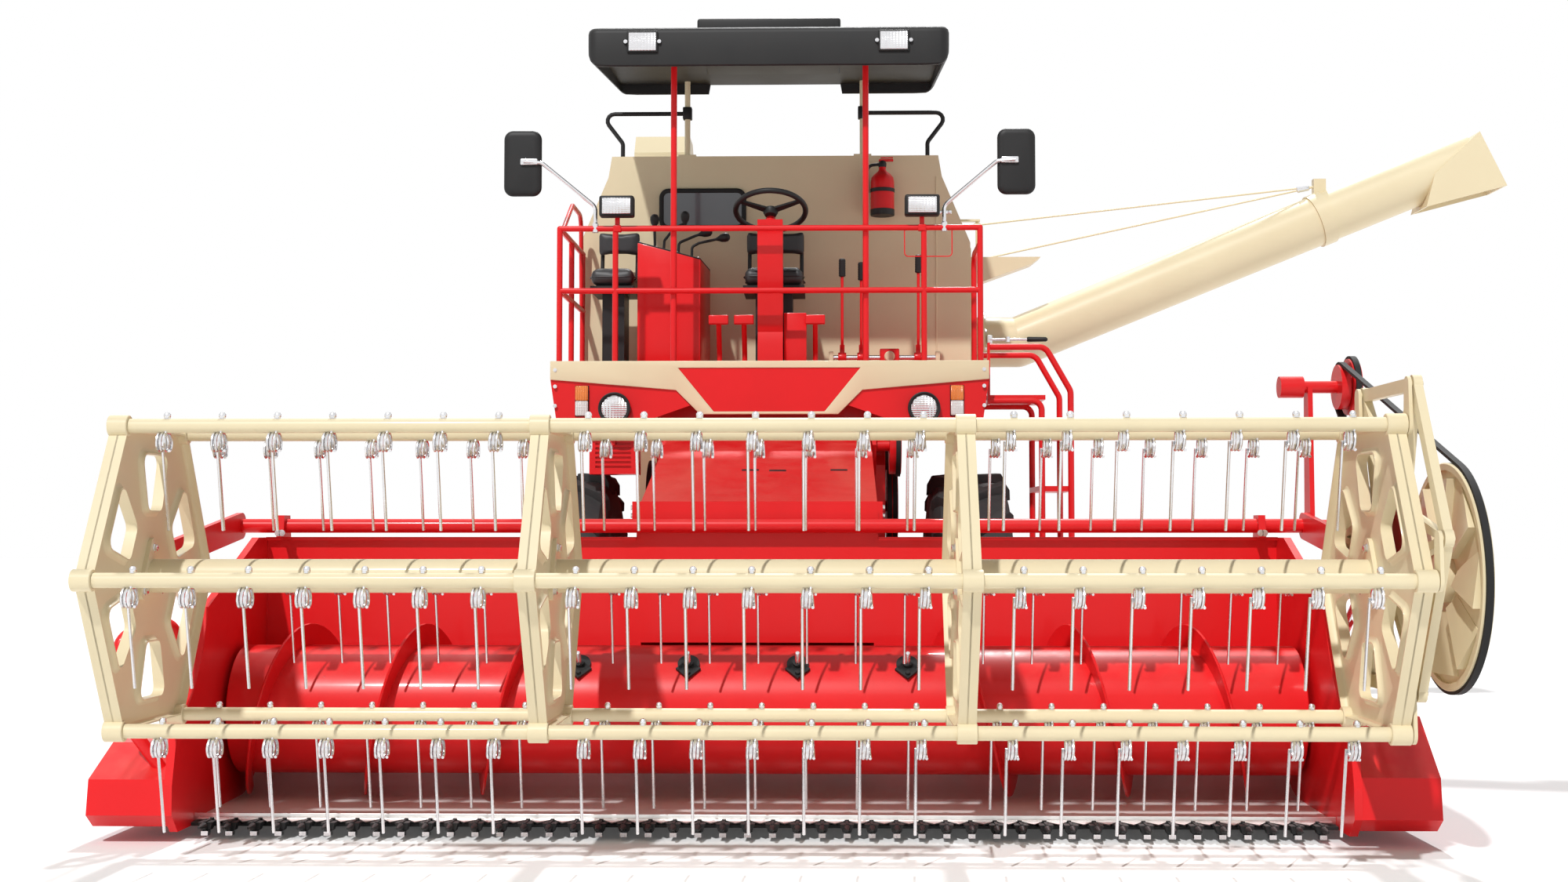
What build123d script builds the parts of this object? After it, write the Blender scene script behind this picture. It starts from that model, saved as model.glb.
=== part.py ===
from build123d import *
from math import cos, pi, radians, sin
import os

# Self-propelled combine harvester with an open driver's platform, millimetres.
# X to the machine's left, Y to its rear, Z up. While it is modelled, Y = 0 is the
# front axle, X = 0 the middle of the body and Z = 0 the ground. At the end every
# piece moves so that the origin is under the middle of the whole machine.

os.makedirs("parts", exist_ok=True)

run_gap = 0.3          # between a turning piece and what carries it

# Wheels: traction tyres in front, small steered ones behind
wheelbase = 3550
front_track = 2100
front_tyre_radius = 735
front_tyre_width = 430
front_lug_height = 42
front_lug_pairs = 17
lug_thickness = 46
lug_angle = 38         # degrees between a lug and the tyre's axis
front_rim_radius = 381
front_stub_radius = 70
rear_track = 1860
rear_tyre_radius = 450
rear_tyre_width = 240
rear_rib_height = 16
rear_rim_radius = 203
rear_stub_radius = 32
kingpin_inset = 190    # from a rear tyre's middle to its kingpin
kingpin_radius = 24

# Chassis and body
body_width = 1200
body_front_y = -300
body_bottom = 980
deck_height = 1960     # top of the threshing body, underside of the tank
rail_height = 160
rail_width = 80
axle_beam = 160
hood_start_y = 3000
hood_end_y = 4380
hood_wall = 30

# Grain tank
tank_front_y = 460
tank_length = 1290
tank_width = 2220
tank_shoulder_width = 1900
tank_side_top = 2790
tank_shoulder_top = 3170
tank_top = 3290
tank_wall = 40

# Driver's platform
platform_front_y = -540
platform_width = 2260
platform_top = 2000
platform_thickness = 40
fascia_top = 2031
fascia_thickness = 26
rail_tube = 15
top_rail_height = 2725
mid_rail_height = 2400
canopy_width = 1845
canopy_front_y = -720
canopy_depth = 1330
canopy_underside = 3650
canopy_thickness = 70
post_spacing = 1000
post_size = 32

# Feeder house and its pivot
feeder_width = 1040
feeder_wall = 20
lift_pivot_y = -400
lift_pivot_z = 1600
feeder_mouth_top = 1240
feeder_mouth_bottom = 130
pivot_shaft_radius = 30
pivot_shaft_half = 580
lift_range = 22        # degrees from the working height up to transport
lift_base_y = -150
lift_base_z = 590
lift_eye_y = -1600
lift_eye_z = 330
lift_cylinder_x = 400
lift_ear_gap = 45      # from a lift cylinder's middle to its ears
lift_ear = 20          # thickness of those ears
lift_pin_radius = 16
lift_eye_slack = 17    # room in the rod's eye for the pin's drift, all round
reel_eye_slack = 10    # and the same at the reel's cylinders
rod_eye_wall = 11

# Header
header_offset = 50     # header's middle, left of the body's middle
header_inside = 4334   # between the side sheets
side_thickness = 30
sheet = 8
header_back_y = -2100  # front face of the back sheet
auger_ahead = 360      # auger axis ahead of the back sheet
auger_height = 430
auger_drum_radius = 260
auger_flight_radius = 335
auger_shaft_radius = 30
flight_pitch = 560
flight_turns = 2.75
finger_count = 4
finger_pitch = 437
knife_ahead = 580      # knife ahead of the auger axis
floor_height = 62
guard_count = 46
guard_length = 120
beam_top = 1120
header_mouth_top = 680  # upper edge of the mouth in the header's back sheet

# Reel
arm_pivot_ahead = 42   # arm pivot ahead of the back sheet
arm_pivot_z = 1180
arm_tube_radius = 30
arm_thickness = 24
reel_ahead = 1380      # reel axis ahead of the arm pivot
reel_drop = 180        # and below it
reel_radius = 600
reel_plate_spacing = 1446
reel_plate_depth = 62
reel_sheet = 6
reel_tube_radius = 60
window_length = 360    # windows of the reel's plates, with their folded rims
window_width = 250
window_corner = 44
window_middle = 318
window_lip_depth = 36
reel_shaft_radius = 27
bat_radius = 25
collar_wall = 12
collar_length = 68
tines_per_section = 7
tine_pitch = 190
tine_wire = 4.5
tine_coil_radius = 27
tine_coil_width = 34
tine_reach = 345       # tip below the bat's middle
tine_rake = 110        # tip behind the bat's middle
crank_rise = 137       # control pin above its bat
crank_thickness = 12
pin_radius = 12
spider_thickness = 30
spider_hub_radius = 190
reel_lift_range = 28
reel_pulley_radius = 400
reel_pulley_x = 2420
belt_thickness = 12

# Unloading auger
unloader_y = 760
unloader_z = 2250
unloader_radius = 145
unloader_hinge_x = 1190
unloader_elbow_x = 1400
unloader_rise = 22
unloader_length = 2840
hinge_pin_radius = 14
flange_radius = unloader_radius + 30
hinge_y = unloader_y + flange_radius + 32
hinge_x = unloader_hinge_x - 1
stay_heights = (2760, 2970)
stay_pin_radius = 10
stay_radius = 5
clamp_along = 1900     # from the elbow to the clamp that the stays hold
rib_rise = 10          # pressed ribs stand this far out of the sheets

reel_y = header_back_y - arm_pivot_ahead - reel_ahead
reel_z = arm_pivot_z - reel_drop
arm_pivot_y = header_back_y - arm_pivot_ahead
auger_y = header_back_y - auger_ahead
knife_y = auger_y - knife_ahead
side_sheet_x = header_inside / 2
rear_axle_y = wheelbase
front_axle_z = front_tyre_radius
rear_axle_z = rear_tyre_radius
rail_x = body_width / 2 - rail_width / 2
rail_top = body_bottom
rail_bottom = rail_top - rail_height

pieces = []


def keep(builder, name):
    """Label a finished piece and keep it for the last step."""
    builder.part.label = name
    pieces.append(builder.part)


def front_plane(y):
    """A plane that faces forward, with X to its right and Z up."""
    return Plane(origin=(0, y, 0), x_dir=(1, 0, 0), z_dir=(0, -1, 0))


def side_plane(x):
    """A plane that faces left, with Y to its right and Z up."""
    return Plane(origin=(x, 0, 0), x_dir=(0, 1, 0), z_dir=(1, 0, 0))


def block(low, high, mode=Mode.ADD):
    """Add a box between its lowest and highest corners."""
    size = [b - a for a, b in zip(low, high)]
    middle = tuple((a + b) / 2 for a, b in zip(low, high))
    with Locations(middle):
        Box(*size, mode=mode)


def bar(start, end, radius, mode=Mode.ADD):
    """Add a round bar between two points."""
    run = Vector(*end) - Vector(*start)
    with BuildSketch(Plane(origin=start, z_dir=run)) as section:
        Circle(radius)
    extrude(section.sketch, amount=run.length, mode=mode)


def beam(start, end, width, height, mode=Mode.ADD):
    """Add a bar of rectangular section, width along X, between two points of one X."""
    run = Vector(*end) - Vector(*start)
    with BuildSketch(Plane(origin=start, x_dir=(1, 0, 0), z_dir=run)) as section:
        Rectangle(width, height)
    extrude(section.sketch, amount=run.length, mode=mode)


def slab(outline, plane, depth, mode=Mode.ADD, corner=0):
    """Add an extruded outline, with every corner rounded if a radius is given."""
    with BuildSketch(plane) as section:
        with BuildLine():
            Polyline(*outline, close=True)
        make_face()
        if corner:
            fillet(section.vertices(), corner)
    extrude(section.sketch, amount=depth, mode=mode)


def bent_tube(points, radius, bend):
    """Add a round tube along straight runs with a bend at each inner point."""
    with BuildLine() as route:
        FilletPolyline(*points, radius=bend)
    run = Vector(*points[1]) - Vector(*points[0])
    with BuildSketch(Plane(origin=points[0], z_dir=run)) as section:
        Circle(radius)
    sweep(section.sketch, path=route.line)


def belt(plane, first, second, thickness, width):
    """Add a closed belt round two pulleys, each given as (u, v, radius) in the plane."""
    for extra, mode in ((thickness, Mode.ADD), (0, Mode.SUBTRACT)):
        with BuildSketch(plane) as loop:
            for u, v, radius in (first, second):
                with Locations((u, v)):
                    Circle(radius + extra)
            make_hull()
        extrude(loop.sketch, amount=width, mode=mode)


def disc(plane, middle, radius, depth, bore=0):
    """Add a round disc on a plane, with a bore if one is given."""
    with BuildSketch(plane) as section:
        with Locations(middle):
            Circle(radius)
            if bore:
                Circle(bore, mode=Mode.SUBTRACT)
    extrude(section.sketch, amount=depth)


def link(plane, first, second, depth, bores=(0, 0)):
    """Add a flat link: the hull of two discs (u, v, radius), with a bore at each."""
    with BuildSketch(plane) as section:
        for u, v, radius in (first, second):
            with Locations((u, v)):
                Circle(radius)
        make_hull()
        for (u, v, _), bore in zip((first, second), bores):
            if bore:
                with Locations((u, v)):
                    Circle(bore, mode=Mode.SUBTRACT)
    extrude(section.sketch, amount=depth)


# Front wheels: the tyre's carcass with chevron lugs, and the dished rim

front_rim_half = front_tyre_width * 0.4
front_crown = front_tyre_radius - front_lug_height


def tyre_ring(profile, bore, sides):
    """Add a ring of flats: (x, distance of the flats from the axis) pairs across the tyre."""
    rings = []
    for x, reach in profile:
        with BuildSketch(side_plane(x)) as ring:
            RegularPolygon(reach, sides, major_radius=False)
        rings.append(ring.sketch)
    loft(rings, ruled=True)
    with BuildSketch(side_plane(profile[0][0])) as hole:
        RegularPolygon(bore, sides, major_radius=False)
    extrude(hole.sketch, amount=profile[-1][0] - profile[0][0], mode=Mode.SUBTRACT)


front_half = front_tyre_width / 2
front_shoulder = front_crown - 55
with BuildPart() as front_tyre:
    tyre_ring([(-front_rim_half, front_rim_radius + 30), (-front_half * 0.97, 540),
               (-front_half * 0.92, front_shoulder), (-front_half * 0.68, front_crown - 6),
               (front_half * 0.68, front_crown - 6), (front_half * 0.92, front_shoulder),
               (front_half * 0.97, 540), (front_rim_half, front_rim_radius + 30)],
              front_rim_radius, 2 * front_lug_pairs)
    for side in (1, -1):
        lug_length = front_half * 1.12
        middle = Location((side * front_half * 0.48, 0, 0))
        with BuildPart(mode=Mode.PRIVATE) as lug:
            with BuildSketch(Plane.XZ) as lug_side:
                with BuildLine():
                    Polyline((-side * lug_length / 2, front_crown - 30),
                             (-side * lug_length / 2, front_tyre_radius - 5),
                             (side * lug_length * 0.36, front_tyre_radius - 6),
                             (side * lug_length / 2, front_tyre_radius - 50),
                             (side * lug_length / 2, front_crown - 70), close=True)
                make_face()
            extrude(lug_side.sketch, amount=lug_thickness / 2, both=True)
        turns = [360 / front_lug_pairs * (step + side * 0.25) for step in range(front_lug_pairs)]
        lean = Location((0, 0, 0), (0, 0, side * lug_angle))
        with Locations(*[Location((0, 0, 0), (turn, 0, 0)) * middle * lean for turn in turns]):
            add(lug.part)

front_disc_x = 60      # wheel disc outboard of the tyre's middle
with BuildPart() as front_rim:
    with BuildSketch(Plane.XZ) as section:
        with BuildLine():
            Polyline((-front_rim_half, front_rim_radius - 14), (-front_rim_half, front_rim_radius),
                     (front_rim_half, front_rim_radius), (front_rim_half, front_rim_radius - 14),
                     (front_disc_x + 24, front_rim_radius - 40), (front_disc_x + 24, 250),
                     (front_disc_x - 16, 180), (front_disc_x - 16, front_stub_radius + run_gap),
                     (front_disc_x - 36, front_stub_radius + run_gap), (front_disc_x - 36, 190),
                     (front_disc_x + 4, 262), (front_disc_x + 4, front_rim_radius - 48), close=True)
        make_face()
    revolve(axis=Axis.X)

front_disc_inner = front_track / 2 + front_disc_x - 36
for side, hand in ((1, "left"), (-1, "right")):
    place = Location((side * front_track / 2, 0, front_axle_z), (0, 0, 0 if side > 0 else 180))
    with BuildPart() as tyre:
        add(front_tyre.part.moved(place))
    keep(tyre, f"front_tyre_{hand}")
    with BuildPart() as rim:
        add(front_rim.part.moved(place))
    keep(rim, f"front_rim_{hand}")

# Front axle: beam, final drive housings and the stubs that carry the wheels

with BuildPart() as front_axle:
    block((-rail_x - 100, -axle_beam / 2, rail_bottom - axle_beam),
          (rail_x + 100, axle_beam / 2, rail_bottom))
    for side in (1, -1):
        with BuildSketch(side_plane(side * 640)) as housing:
            with Locations((0, front_axle_z)):
                Circle(150)
            with Locations((40, front_axle_z + 30)):
                Rectangle(220, 200)
        extrude(housing.sketch, amount=side * 130)
        bar((side * 770, 0, front_axle_z), (side * (front_disc_inner - run_gap), 0, front_axle_z), 110)
        bar((side * 900, 0, front_axle_z), (side * (front_disc_inner + 50), 0, front_axle_z),
            front_stub_radius)
        for x in (lift_cylinder_x - lift_ear_gap - lift_ear, lift_cylinder_x + lift_ear_gap):
            slab([(-axle_beam / 2, rail_bottom - 20), (lift_base_y - 45, lift_base_z + 30),
                  (lift_base_y - 45, lift_base_z - 45), (lift_base_y + 60, lift_base_z - 45),
                  (-axle_beam / 2 + 40, rail_bottom - axle_beam), (-axle_beam / 2 + 40, rail_bottom - 20)],
                 side_plane(x if side > 0 else -x - lift_ear), lift_ear)
        bar((side * (lift_cylinder_x - lift_ear_gap - lift_ear), lift_base_y, lift_base_z),
            (side * (lift_cylinder_x + lift_ear_gap + lift_ear), lift_base_y, lift_base_z), lift_pin_radius)
keep(front_axle, "front_axle")

# Rear axle: pressed beam with a kingpin bushing at each end, on a bolster under the rails

kingpin_x = rear_track / 2 - kingpin_inset
bushing_half = 90
with BuildPart() as rear_axle:
    slab([(-kingpin_x, rear_axle_z + 60), (-300, rear_axle_z + 150), (300, rear_axle_z + 150),
          (kingpin_x, rear_axle_z + 60), (kingpin_x, rear_axle_z - 40), (260, rear_axle_z + 20),
          (-260, rear_axle_z + 20), (-kingpin_x, rear_axle_z - 40)], front_plane(rear_axle_y + 60), 120)
    block((-rail_x - 40, rear_axle_y - 90, rail_bottom - 60), (rail_x + 40, rear_axle_y + 90, rail_bottom))
    block((-70, rear_axle_y - 60, rear_axle_z + 150), (70, rear_axle_y + 60, rail_bottom - 60))
    for side in (1, -1):
        bar((side * kingpin_x, rear_axle_y, rear_axle_z - bushing_half),
            (side * kingpin_x, rear_axle_y, rear_axle_z + bushing_half), kingpin_radius + 22)
        bar((side * kingpin_x, rear_axle_y, rear_axle_z - bushing_half),
            (side * kingpin_x, rear_axle_y, rear_axle_z + bushing_half),
            kingpin_radius + run_gap, Mode.SUBTRACT)
keep(rear_axle, "rear_axle")

# Steering knuckles: kingpin, forked ears, stub shaft and steering arm

rear_half = rear_tyre_width / 2
rear_disc_in = 40      # wheel disc inboard of the tyre's middle
for side, hand in ((1, "left"), (-1, "right")):
    x = side * kingpin_x
    ear = bushing_half + run_gap
    with BuildPart() as knuckle:
        bar((x, rear_axle_y, rear_axle_z - ear - 26), (x, rear_axle_y, rear_axle_z + ear + 26),
            kingpin_radius)
        for low in (-ear - 26, ear):
            with BuildSketch(Plane.XY.offset(rear_axle_z + low)) as fork:
                with Locations((x, rear_axle_y)):
                    Circle(46)
                with Locations((x + side * 45, rear_axle_y)):
                    Rectangle(90, 92)
            extrude(fork.sketch, amount=26)
        block((min(x + side * 64, x + side * 96), rear_axle_y - 46, rear_axle_z - ear - 26),
              (max(x + side * 64, x + side * 96), rear_axle_y + 46, rear_axle_z + ear + 26))
        stub_end = side * (rear_track / 2 - rear_disc_in + 60)
        bar((x + side * 90, rear_axle_y, rear_axle_z), (stub_end, rear_axle_y, rear_axle_z), rear_stub_radius)
        slab([(x, rear_axle_y - 30), (x + side * 70, rear_axle_y - 30), (x + side * 40, rear_axle_y - 230),
              (x + side * 10, rear_axle_y - 230)] if side > 0 else
             [(x, rear_axle_y - 30), (x - 10, rear_axle_y - 230), (x - 40, rear_axle_y - 230),
              (x - 70, rear_axle_y - 30)], Plane.XY.offset(rear_axle_z + ear), 22)
    keep(knuckle, f"steering_knuckle_{hand}")

rear_groove = rear_tyre_radius - rear_rib_height
rear_flats = 26
rear_section = [(-rear_half * 0.75, rear_rim_radius + 12), (-rear_half, 330),
                (-rear_half * 0.9, rear_groove - 24)]
for x in (-66, 0, 66):
    rear_section += [(x - 26, rear_groove), (x - 22, rear_tyre_radius), (x + 22, rear_tyre_radius),
                     (x + 26, rear_groove)]
rear_section += [(rear_half * 0.9, rear_groove - 24), (rear_half, 330),
                 (rear_half * 0.75, rear_rim_radius + 12)]
with BuildPart() as rear_tyre:
    tyre_ring(rear_section, rear_rim_radius, rear_flats)

with BuildPart() as rear_rim:
    with BuildSketch(Plane.XZ) as section:
        with BuildLine():
            Polyline((-rear_half * 0.75, rear_rim_radius - 10), (-rear_half * 0.75, rear_rim_radius),
                     (rear_half * 0.75, rear_rim_radius), (rear_half * 0.75, rear_rim_radius - 10),
                     (-rear_disc_in + 30, rear_rim_radius - 22), (-rear_disc_in + 14, 110),
                     (-rear_disc_in + 60, 62), (-rear_disc_in + 60, rear_stub_radius + run_gap),
                     (-rear_disc_in - 30, rear_stub_radius + run_gap), (-rear_disc_in - 30, 62),
                     (-rear_disc_in, 110), (-rear_disc_in + 14, rear_rim_radius - 22), close=True)
        make_face()
    revolve(axis=Axis.X)

for side, hand in ((1, "left"), (-1, "right")):
    place = Location((side * rear_track / 2, rear_axle_y, rear_axle_z), (0, 0, 0 if side > 0 else 180))
    with BuildPart() as tyre:
        add(rear_tyre.part.moved(place))
    keep(tyre, f"rear_tyre_{hand}")
    with BuildPart() as rim:
        add(rear_rim.part.moved(place))
    keep(rim, f"rear_rim_{hand}")

# Chassis rails with cross members and the drawbar at the rear

with BuildPart() as chassis:
    for side in (1, -1):
        low_x, high_x = sorted((side * (rail_x - rail_width / 2), side * (rail_x + rail_width / 2)))
        block((low_x, body_front_y + 60, rail_bottom), (high_x, rear_axle_y + 500, rail_top))
    for y in (body_front_y + 100, 1300, rear_axle_y - 150, rear_axle_y + 460):
        block((-rail_x, y - 40, rail_bottom + 20), (rail_x, y + 40, rail_top - 40))
    block((-60, rear_axle_y + 500, rail_bottom + 30), (60, rear_axle_y + 660, rail_bottom + 60))
    block((-60, rear_axle_y + 500, rail_bottom + 110), (60, rear_axle_y + 660, rail_bottom + 140))
    bar((0, rear_axle_y + 620, rail_bottom + 20), (0, rear_axle_y + 620, rail_bottom + 150), 16,
        Mode.SUBTRACT)
keep(chassis, "chassis_frame")

# Threshing body: closed housing, with the two ears that carry the feeder's pivot shaft

body_half = body_width / 2
door_rise = 6
body_doors = (
    # front, rear, bottom and top of each door on the body's side
    (-180, 420, 1040, 1860),
    (520, 1180, 1040, 1860),
    (1280, 2020, 1040, 1860),
    (2120, 2860, 1040, 1860),
)
with BuildPart() as body:
    slab([(body_front_y + 80, body_bottom), (body_front_y, body_bottom + 140), (body_front_y, 1500),
          (body_front_y + 60, 1700), (body_front_y + 60, deck_height), (hood_start_y, deck_height),
          (hood_start_y, body_bottom)], side_plane(-body_half), body_width)
    for side in (1, -1):
        ear_x = side * (feeder_width / 2 + 20)
        slab([(body_front_y + 80, 1400), (lift_pivot_y - 20, 1520), (lift_pivot_y - 70, lift_pivot_z),
              (lift_pivot_y - 20, 1680), (body_front_y + 80, 1760)],
             side_plane(ear_x - 12), 24)
    bar((-pivot_shaft_half, lift_pivot_y, lift_pivot_z), (pivot_shaft_half, lift_pivot_y, lift_pivot_z),
        pivot_shaft_radius)
    for side in (1, -1):
        low_x, high_x = sorted((side * (body_half - 5), side * (body_half + door_rise)))
        for low_y, high_y, low_z, high_z in body_doors:
            block((low_x, low_y, low_z), (high_x, high_y, high_z))
keep(body, "threshing_body")

# Straw hood: open below and at the rear, over the ends of the straw walkers

hood_half = body_half + hood_wall
hood_top = [(hood_start_y, 1000), (hood_start_y, 2300), (hood_start_y + 500, 2380),
            (hood_end_y - 180, 2240), (hood_end_y, 1900), (hood_end_y, 1560), (hood_end_y - 260, 1240)]
with BuildPart() as hood:
    slab([(hood_start_y + run_gap, 1240), *[(y + run_gap, z) for y, z in hood_top[1:2]], *hood_top[2:]],
         side_plane(-hood_half), 2 * hood_half, corner=0)
    slab([(hood_start_y + hood_wall, 1100), (hood_start_y + hood_wall, 2300 - hood_wall),
          (hood_start_y + 500, 2380 - hood_wall), (hood_end_y - 200, 2240 - hood_wall),
          (hood_end_y - hood_wall, 1900 - 10), (hood_end_y - hood_wall, 1540), (hood_end_y + 200, 1400),
          (hood_end_y + 200, 1100)],
         side_plane(-body_half), body_width, Mode.SUBTRACT)
    for side in (1, -1):
        low_x, high_x = sorted((side * (hood_half - 5), side * (hood_half + rib_rise)))
        for y in (hood_start_y + 220, hood_start_y + 640, hood_start_y + 1060):
            block((low_x, y, 1300), (high_x, y + 40, 2140))
keep(hood, "straw_hood")

# Straw walkers: five stepped troughs on two crankshafts

walker_steps = 6
walker_start_y = hood_start_y + hood_wall + 20
walker_step = (hood_end_y - 120 - walker_start_y) / walker_steps
walker_width = 200
with BuildPart() as walkers:
    for row in range(5):
        lift = 24 if row % 2 else -24
        top = []
        for step in range(walker_steps):
            y = walker_start_y + step * walker_step
            top += [(y, 1560 + lift + step * 18), (y + walker_step, 1620 + lift + step * 18)]
        slab([(walker_start_y, 1430 + lift), (walker_start_y + walker_steps * walker_step, 1500 + lift),
              *reversed(top)], side_plane(-body_half + 20 + row * (walker_width + 40)), walker_width)
    for y in (walker_start_y + 160, walker_start_y + 900):
        bar((-body_half + run_gap, y, 1500), (body_half - run_gap, y, 1500), 28)
keep(walkers, "straw_walkers")

# Cleaning shoe under the body: side plates, sieve slats and the two auger troughs

shoe_half = rail_x - rail_width / 2 - 12
with BuildPart() as shoe:
    slab([(1500, body_bottom), (1450, 760), (1700, 600), (1950, 600), (2150, 720), (2350, 600), (2600, 600),
          (2800, 760), (3350, 900), (3350, body_bottom)], side_plane(-shoe_half), 2 * shoe_half)
    slab([(2450, body_bottom - 40), (2560, 800), (2760, 800), (3400, 925), (3400, body_bottom - 40)],
         side_plane(-shoe_half + 20), 2 * shoe_half - 40, Mode.SUBTRACT)
    for y in (1825, 2475):
        bar((-shoe_half - 90, y, 690), (shoe_half + 90, y, 690), 60)
keep(shoe, "cleaning_shoe")

# Grain tank: open bin with shouldered sides, its window cut through the front wall

tank_half = tank_width / 2
shoulder_half = tank_shoulder_width / 2
window_half = 235
window_low = 2880
window_high = 3090
window_x = -410
with BuildPart() as tank:
    slab([(-tank_half, deck_height), (tank_half, deck_height), (tank_half, tank_side_top),
          (shoulder_half, tank_shoulder_top), (shoulder_half - 20, tank_top), (-shoulder_half + 20, tank_top),
          (-shoulder_half, tank_shoulder_top), (-tank_half, tank_side_top)],
         front_plane(tank_front_y), -tank_length)
    slab([(-tank_half + tank_wall, deck_height + tank_wall), (tank_half - tank_wall, deck_height + tank_wall),
          (tank_half - tank_wall, tank_side_top - 15), (shoulder_half - tank_wall, tank_shoulder_top - 10),
          (shoulder_half - tank_wall - 20, tank_top + 10), (-shoulder_half + tank_wall + 20, tank_top + 10),
          (-shoulder_half + tank_wall, tank_shoulder_top - 10), (-tank_half + tank_wall, tank_side_top - 15)],
         front_plane(tank_front_y + tank_wall), -(tank_length - 2 * tank_wall), Mode.SUBTRACT)
    slab([(tank_half - 10, 2540), (tank_half - 10, 2710), (1510, 2710), (1460, 2670)],
         front_plane(tank_front_y + 20), -140)
    for side in (1, -1):
        for y in (tank_front_y + 80, tank_front_y + 640, tank_front_y + 950):
            low_x, high_x = sorted((side * (tank_half - 5), side * (tank_half + rib_rise)))
            block((low_x, y, deck_height + 60), (high_x, y + 40, tank_side_top - 20))
    for inner_x, z in ((tank_half - 20, stay_heights[0] - 32), (shoulder_half + 60, stay_heights[1] + 20)):
        block((inner_x, hinge_y - 20, z), (hinge_x + 16, hinge_y + 20, z + 12))
    bar((hinge_x, hinge_y, stay_heights[0] - 26), (hinge_x, hinge_y, stay_heights[1] + 26), stay_pin_radius)
    with BuildSketch(front_plane(tank_front_y)) as opening:
        with Locations((window_x, (window_low + window_high) / 2)):
            RectangleRounded(2 * window_half - 40, window_high - window_low - 40, 30)
    extrude(opening.sketch, amount=-tank_wall, mode=Mode.SUBTRACT)
keep(tank, "grain_tank")

with BuildPart() as window:
    with BuildSketch(front_plane(tank_front_y)) as pane:
        with Locations((window_x, (window_low + window_high) / 2)):
            RectangleRounded(2 * window_half, window_high - window_low, 40)
    extrude(pane.sketch, amount=16)
keep(window, "tank_window")

# Grain elevator up the tank's rear wall, with its head above the rim

elevator_x = -910
elevator_y = tank_front_y + tank_length
with BuildPart() as elevator:
    block((elevator_x, elevator_y, 640), (elevator_x + 200, elevator_y + 200, 3400))
    slab([(elevator_y + 200, 3400), (elevator_y + 200, 3560), (elevator_y + 100, 3640),
          (elevator_y - 160, 3640), (elevator_y - 260, 3520), (elevator_y - 260, tank_top + 10),
          (elevator_y - 60, tank_top + 10), (elevator_y, 3400)], side_plane(elevator_x), 340)
keep(elevator, "grain_elevator")

# Engine deck behind the tank: engine, cover with louvres, rotary screen, stack and fuel tank

engine_y = tank_front_y + tank_length + 230
engine_left_x = 380
with BuildPart() as engine:
    block((-420, engine_y, deck_height), (engine_left_x, engine_y + 720, 2560))
    bent_tube([(engine_left_x, engine_y + 500, 2300), (560, engine_y + 500, 2300),
               (560, engine_y + 500, 3080)], 45, 70)
    bar((560, engine_y + 500, 2560), (560, engine_y + 500, 2980), 85)
    bent_tube([(560, engine_y + 500, 3080), (560, engine_y + 500, 3380), (560, engine_y + 600, 3480)], 40, 60)
    bar((-120, engine_y + 60, 2560), (-120, engine_y + 60, 3140), 45)
    bar((-120, engine_y + 60, 3140), (-120, engine_y + 60, 3340), 120)
    bar((-120, engine_y + 60, 3340), (-120, engine_y + 60, 3380), 60)
keep(engine, "engine")

screen_radius = 330
screen_shaft_radius = 25
screen_z = deck_height + 420
with BuildPart() as engine_housing:
    slab([(-480, 2600), (-480, 2820), (-400, 2900), (360, 2900), (440, 2820), (440, 2600)],
         front_plane(engine_y - 20), -760)
    slab([(-450, 2590), (-450, 2810), (-390, 2870), (350, 2870), (410, 2810), (410, 2590)],
         front_plane(engine_y + 10), -700, Mode.SUBTRACT)
    for side_x in (-480, 400):
        for y in (engine_y, engine_y + 660):
            block((side_x, y, deck_height), (side_x + 40, y + 40, 2600))
    bar((-120, engine_y + 60, 2800), (-120, engine_y + 60, 2920), 45 + run_gap, Mode.SUBTRACT)
    block((-960, engine_y + 20, deck_height), (-540, engine_y + 760, 2760))
    bar((-960, engine_y + 390, screen_z), (-990, engine_y + 390, screen_z), screen_radius)
    bar((-990, engine_y + 390, screen_z), (-1030, engine_y + 390, screen_z), screen_shaft_radius)
    slab([(engine_y + 60, deck_height), (engine_y + 60, 2440), (engine_y + 120, 2500), (engine_y + 640, 2500),
          (engine_y + 700, 2440), (engine_y + 700, deck_height)], side_plane(680), 400)
keep(engine_housing, "engine_housing")

with BuildPart() as screen:
    disc(side_plane(-1040), (engine_y + 390, screen_z), screen_radius - 10, 50 - run_gap,
         screen_shaft_radius + run_gap)
keep(screen, "rotary_screen")

# Drives on the body's sides: pulleys on their shafts and the belts round them

drive_shafts = {
    # y, z, radius of the left pulley, radius of the right one
    "engine": (engine_y + 360, 2160, 140, 0),
    "clutch": (engine_y + 240, 1480, 190, 0),
    "cylinder": (150, 1290, 200, 240),
    "feeder": (lift_pivot_y, lift_pivot_z, 150, 0),
    "beater": (760, 1780, 130, 0),
    "fan": (1350, 1180, 0, 190),
    "walker": (2700, 1500, 0, 170),
}
drive_width = 60
left_drive_x = body_half
right_drive_x = -body_half - drive_width
with BuildPart() as pulleys:
    for y, z, radius, _ in drive_shafts.values():
        if radius:
            inner_x = left_drive_x + door_rise
            if z > deck_height:
                inner_x = engine_left_x
            if y < body_front_y:
                inner_x = pivot_shaft_half
            bar((inner_x, y, z), (left_drive_x + 20, y, z), pivot_shaft_radius)
            disc(side_plane(left_drive_x + 20), (y, z), radius, drive_width)
    for y, z, _, radius in drive_shafts.values():
        if radius:
            bar((-left_drive_x - 20, y, z), (-left_drive_x - door_rise, y, z), 40)
            disc(side_plane(-left_drive_x - 20 - drive_width), (y, z), radius, drive_width)
keep(pulleys, "drive_pulleys")

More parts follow.
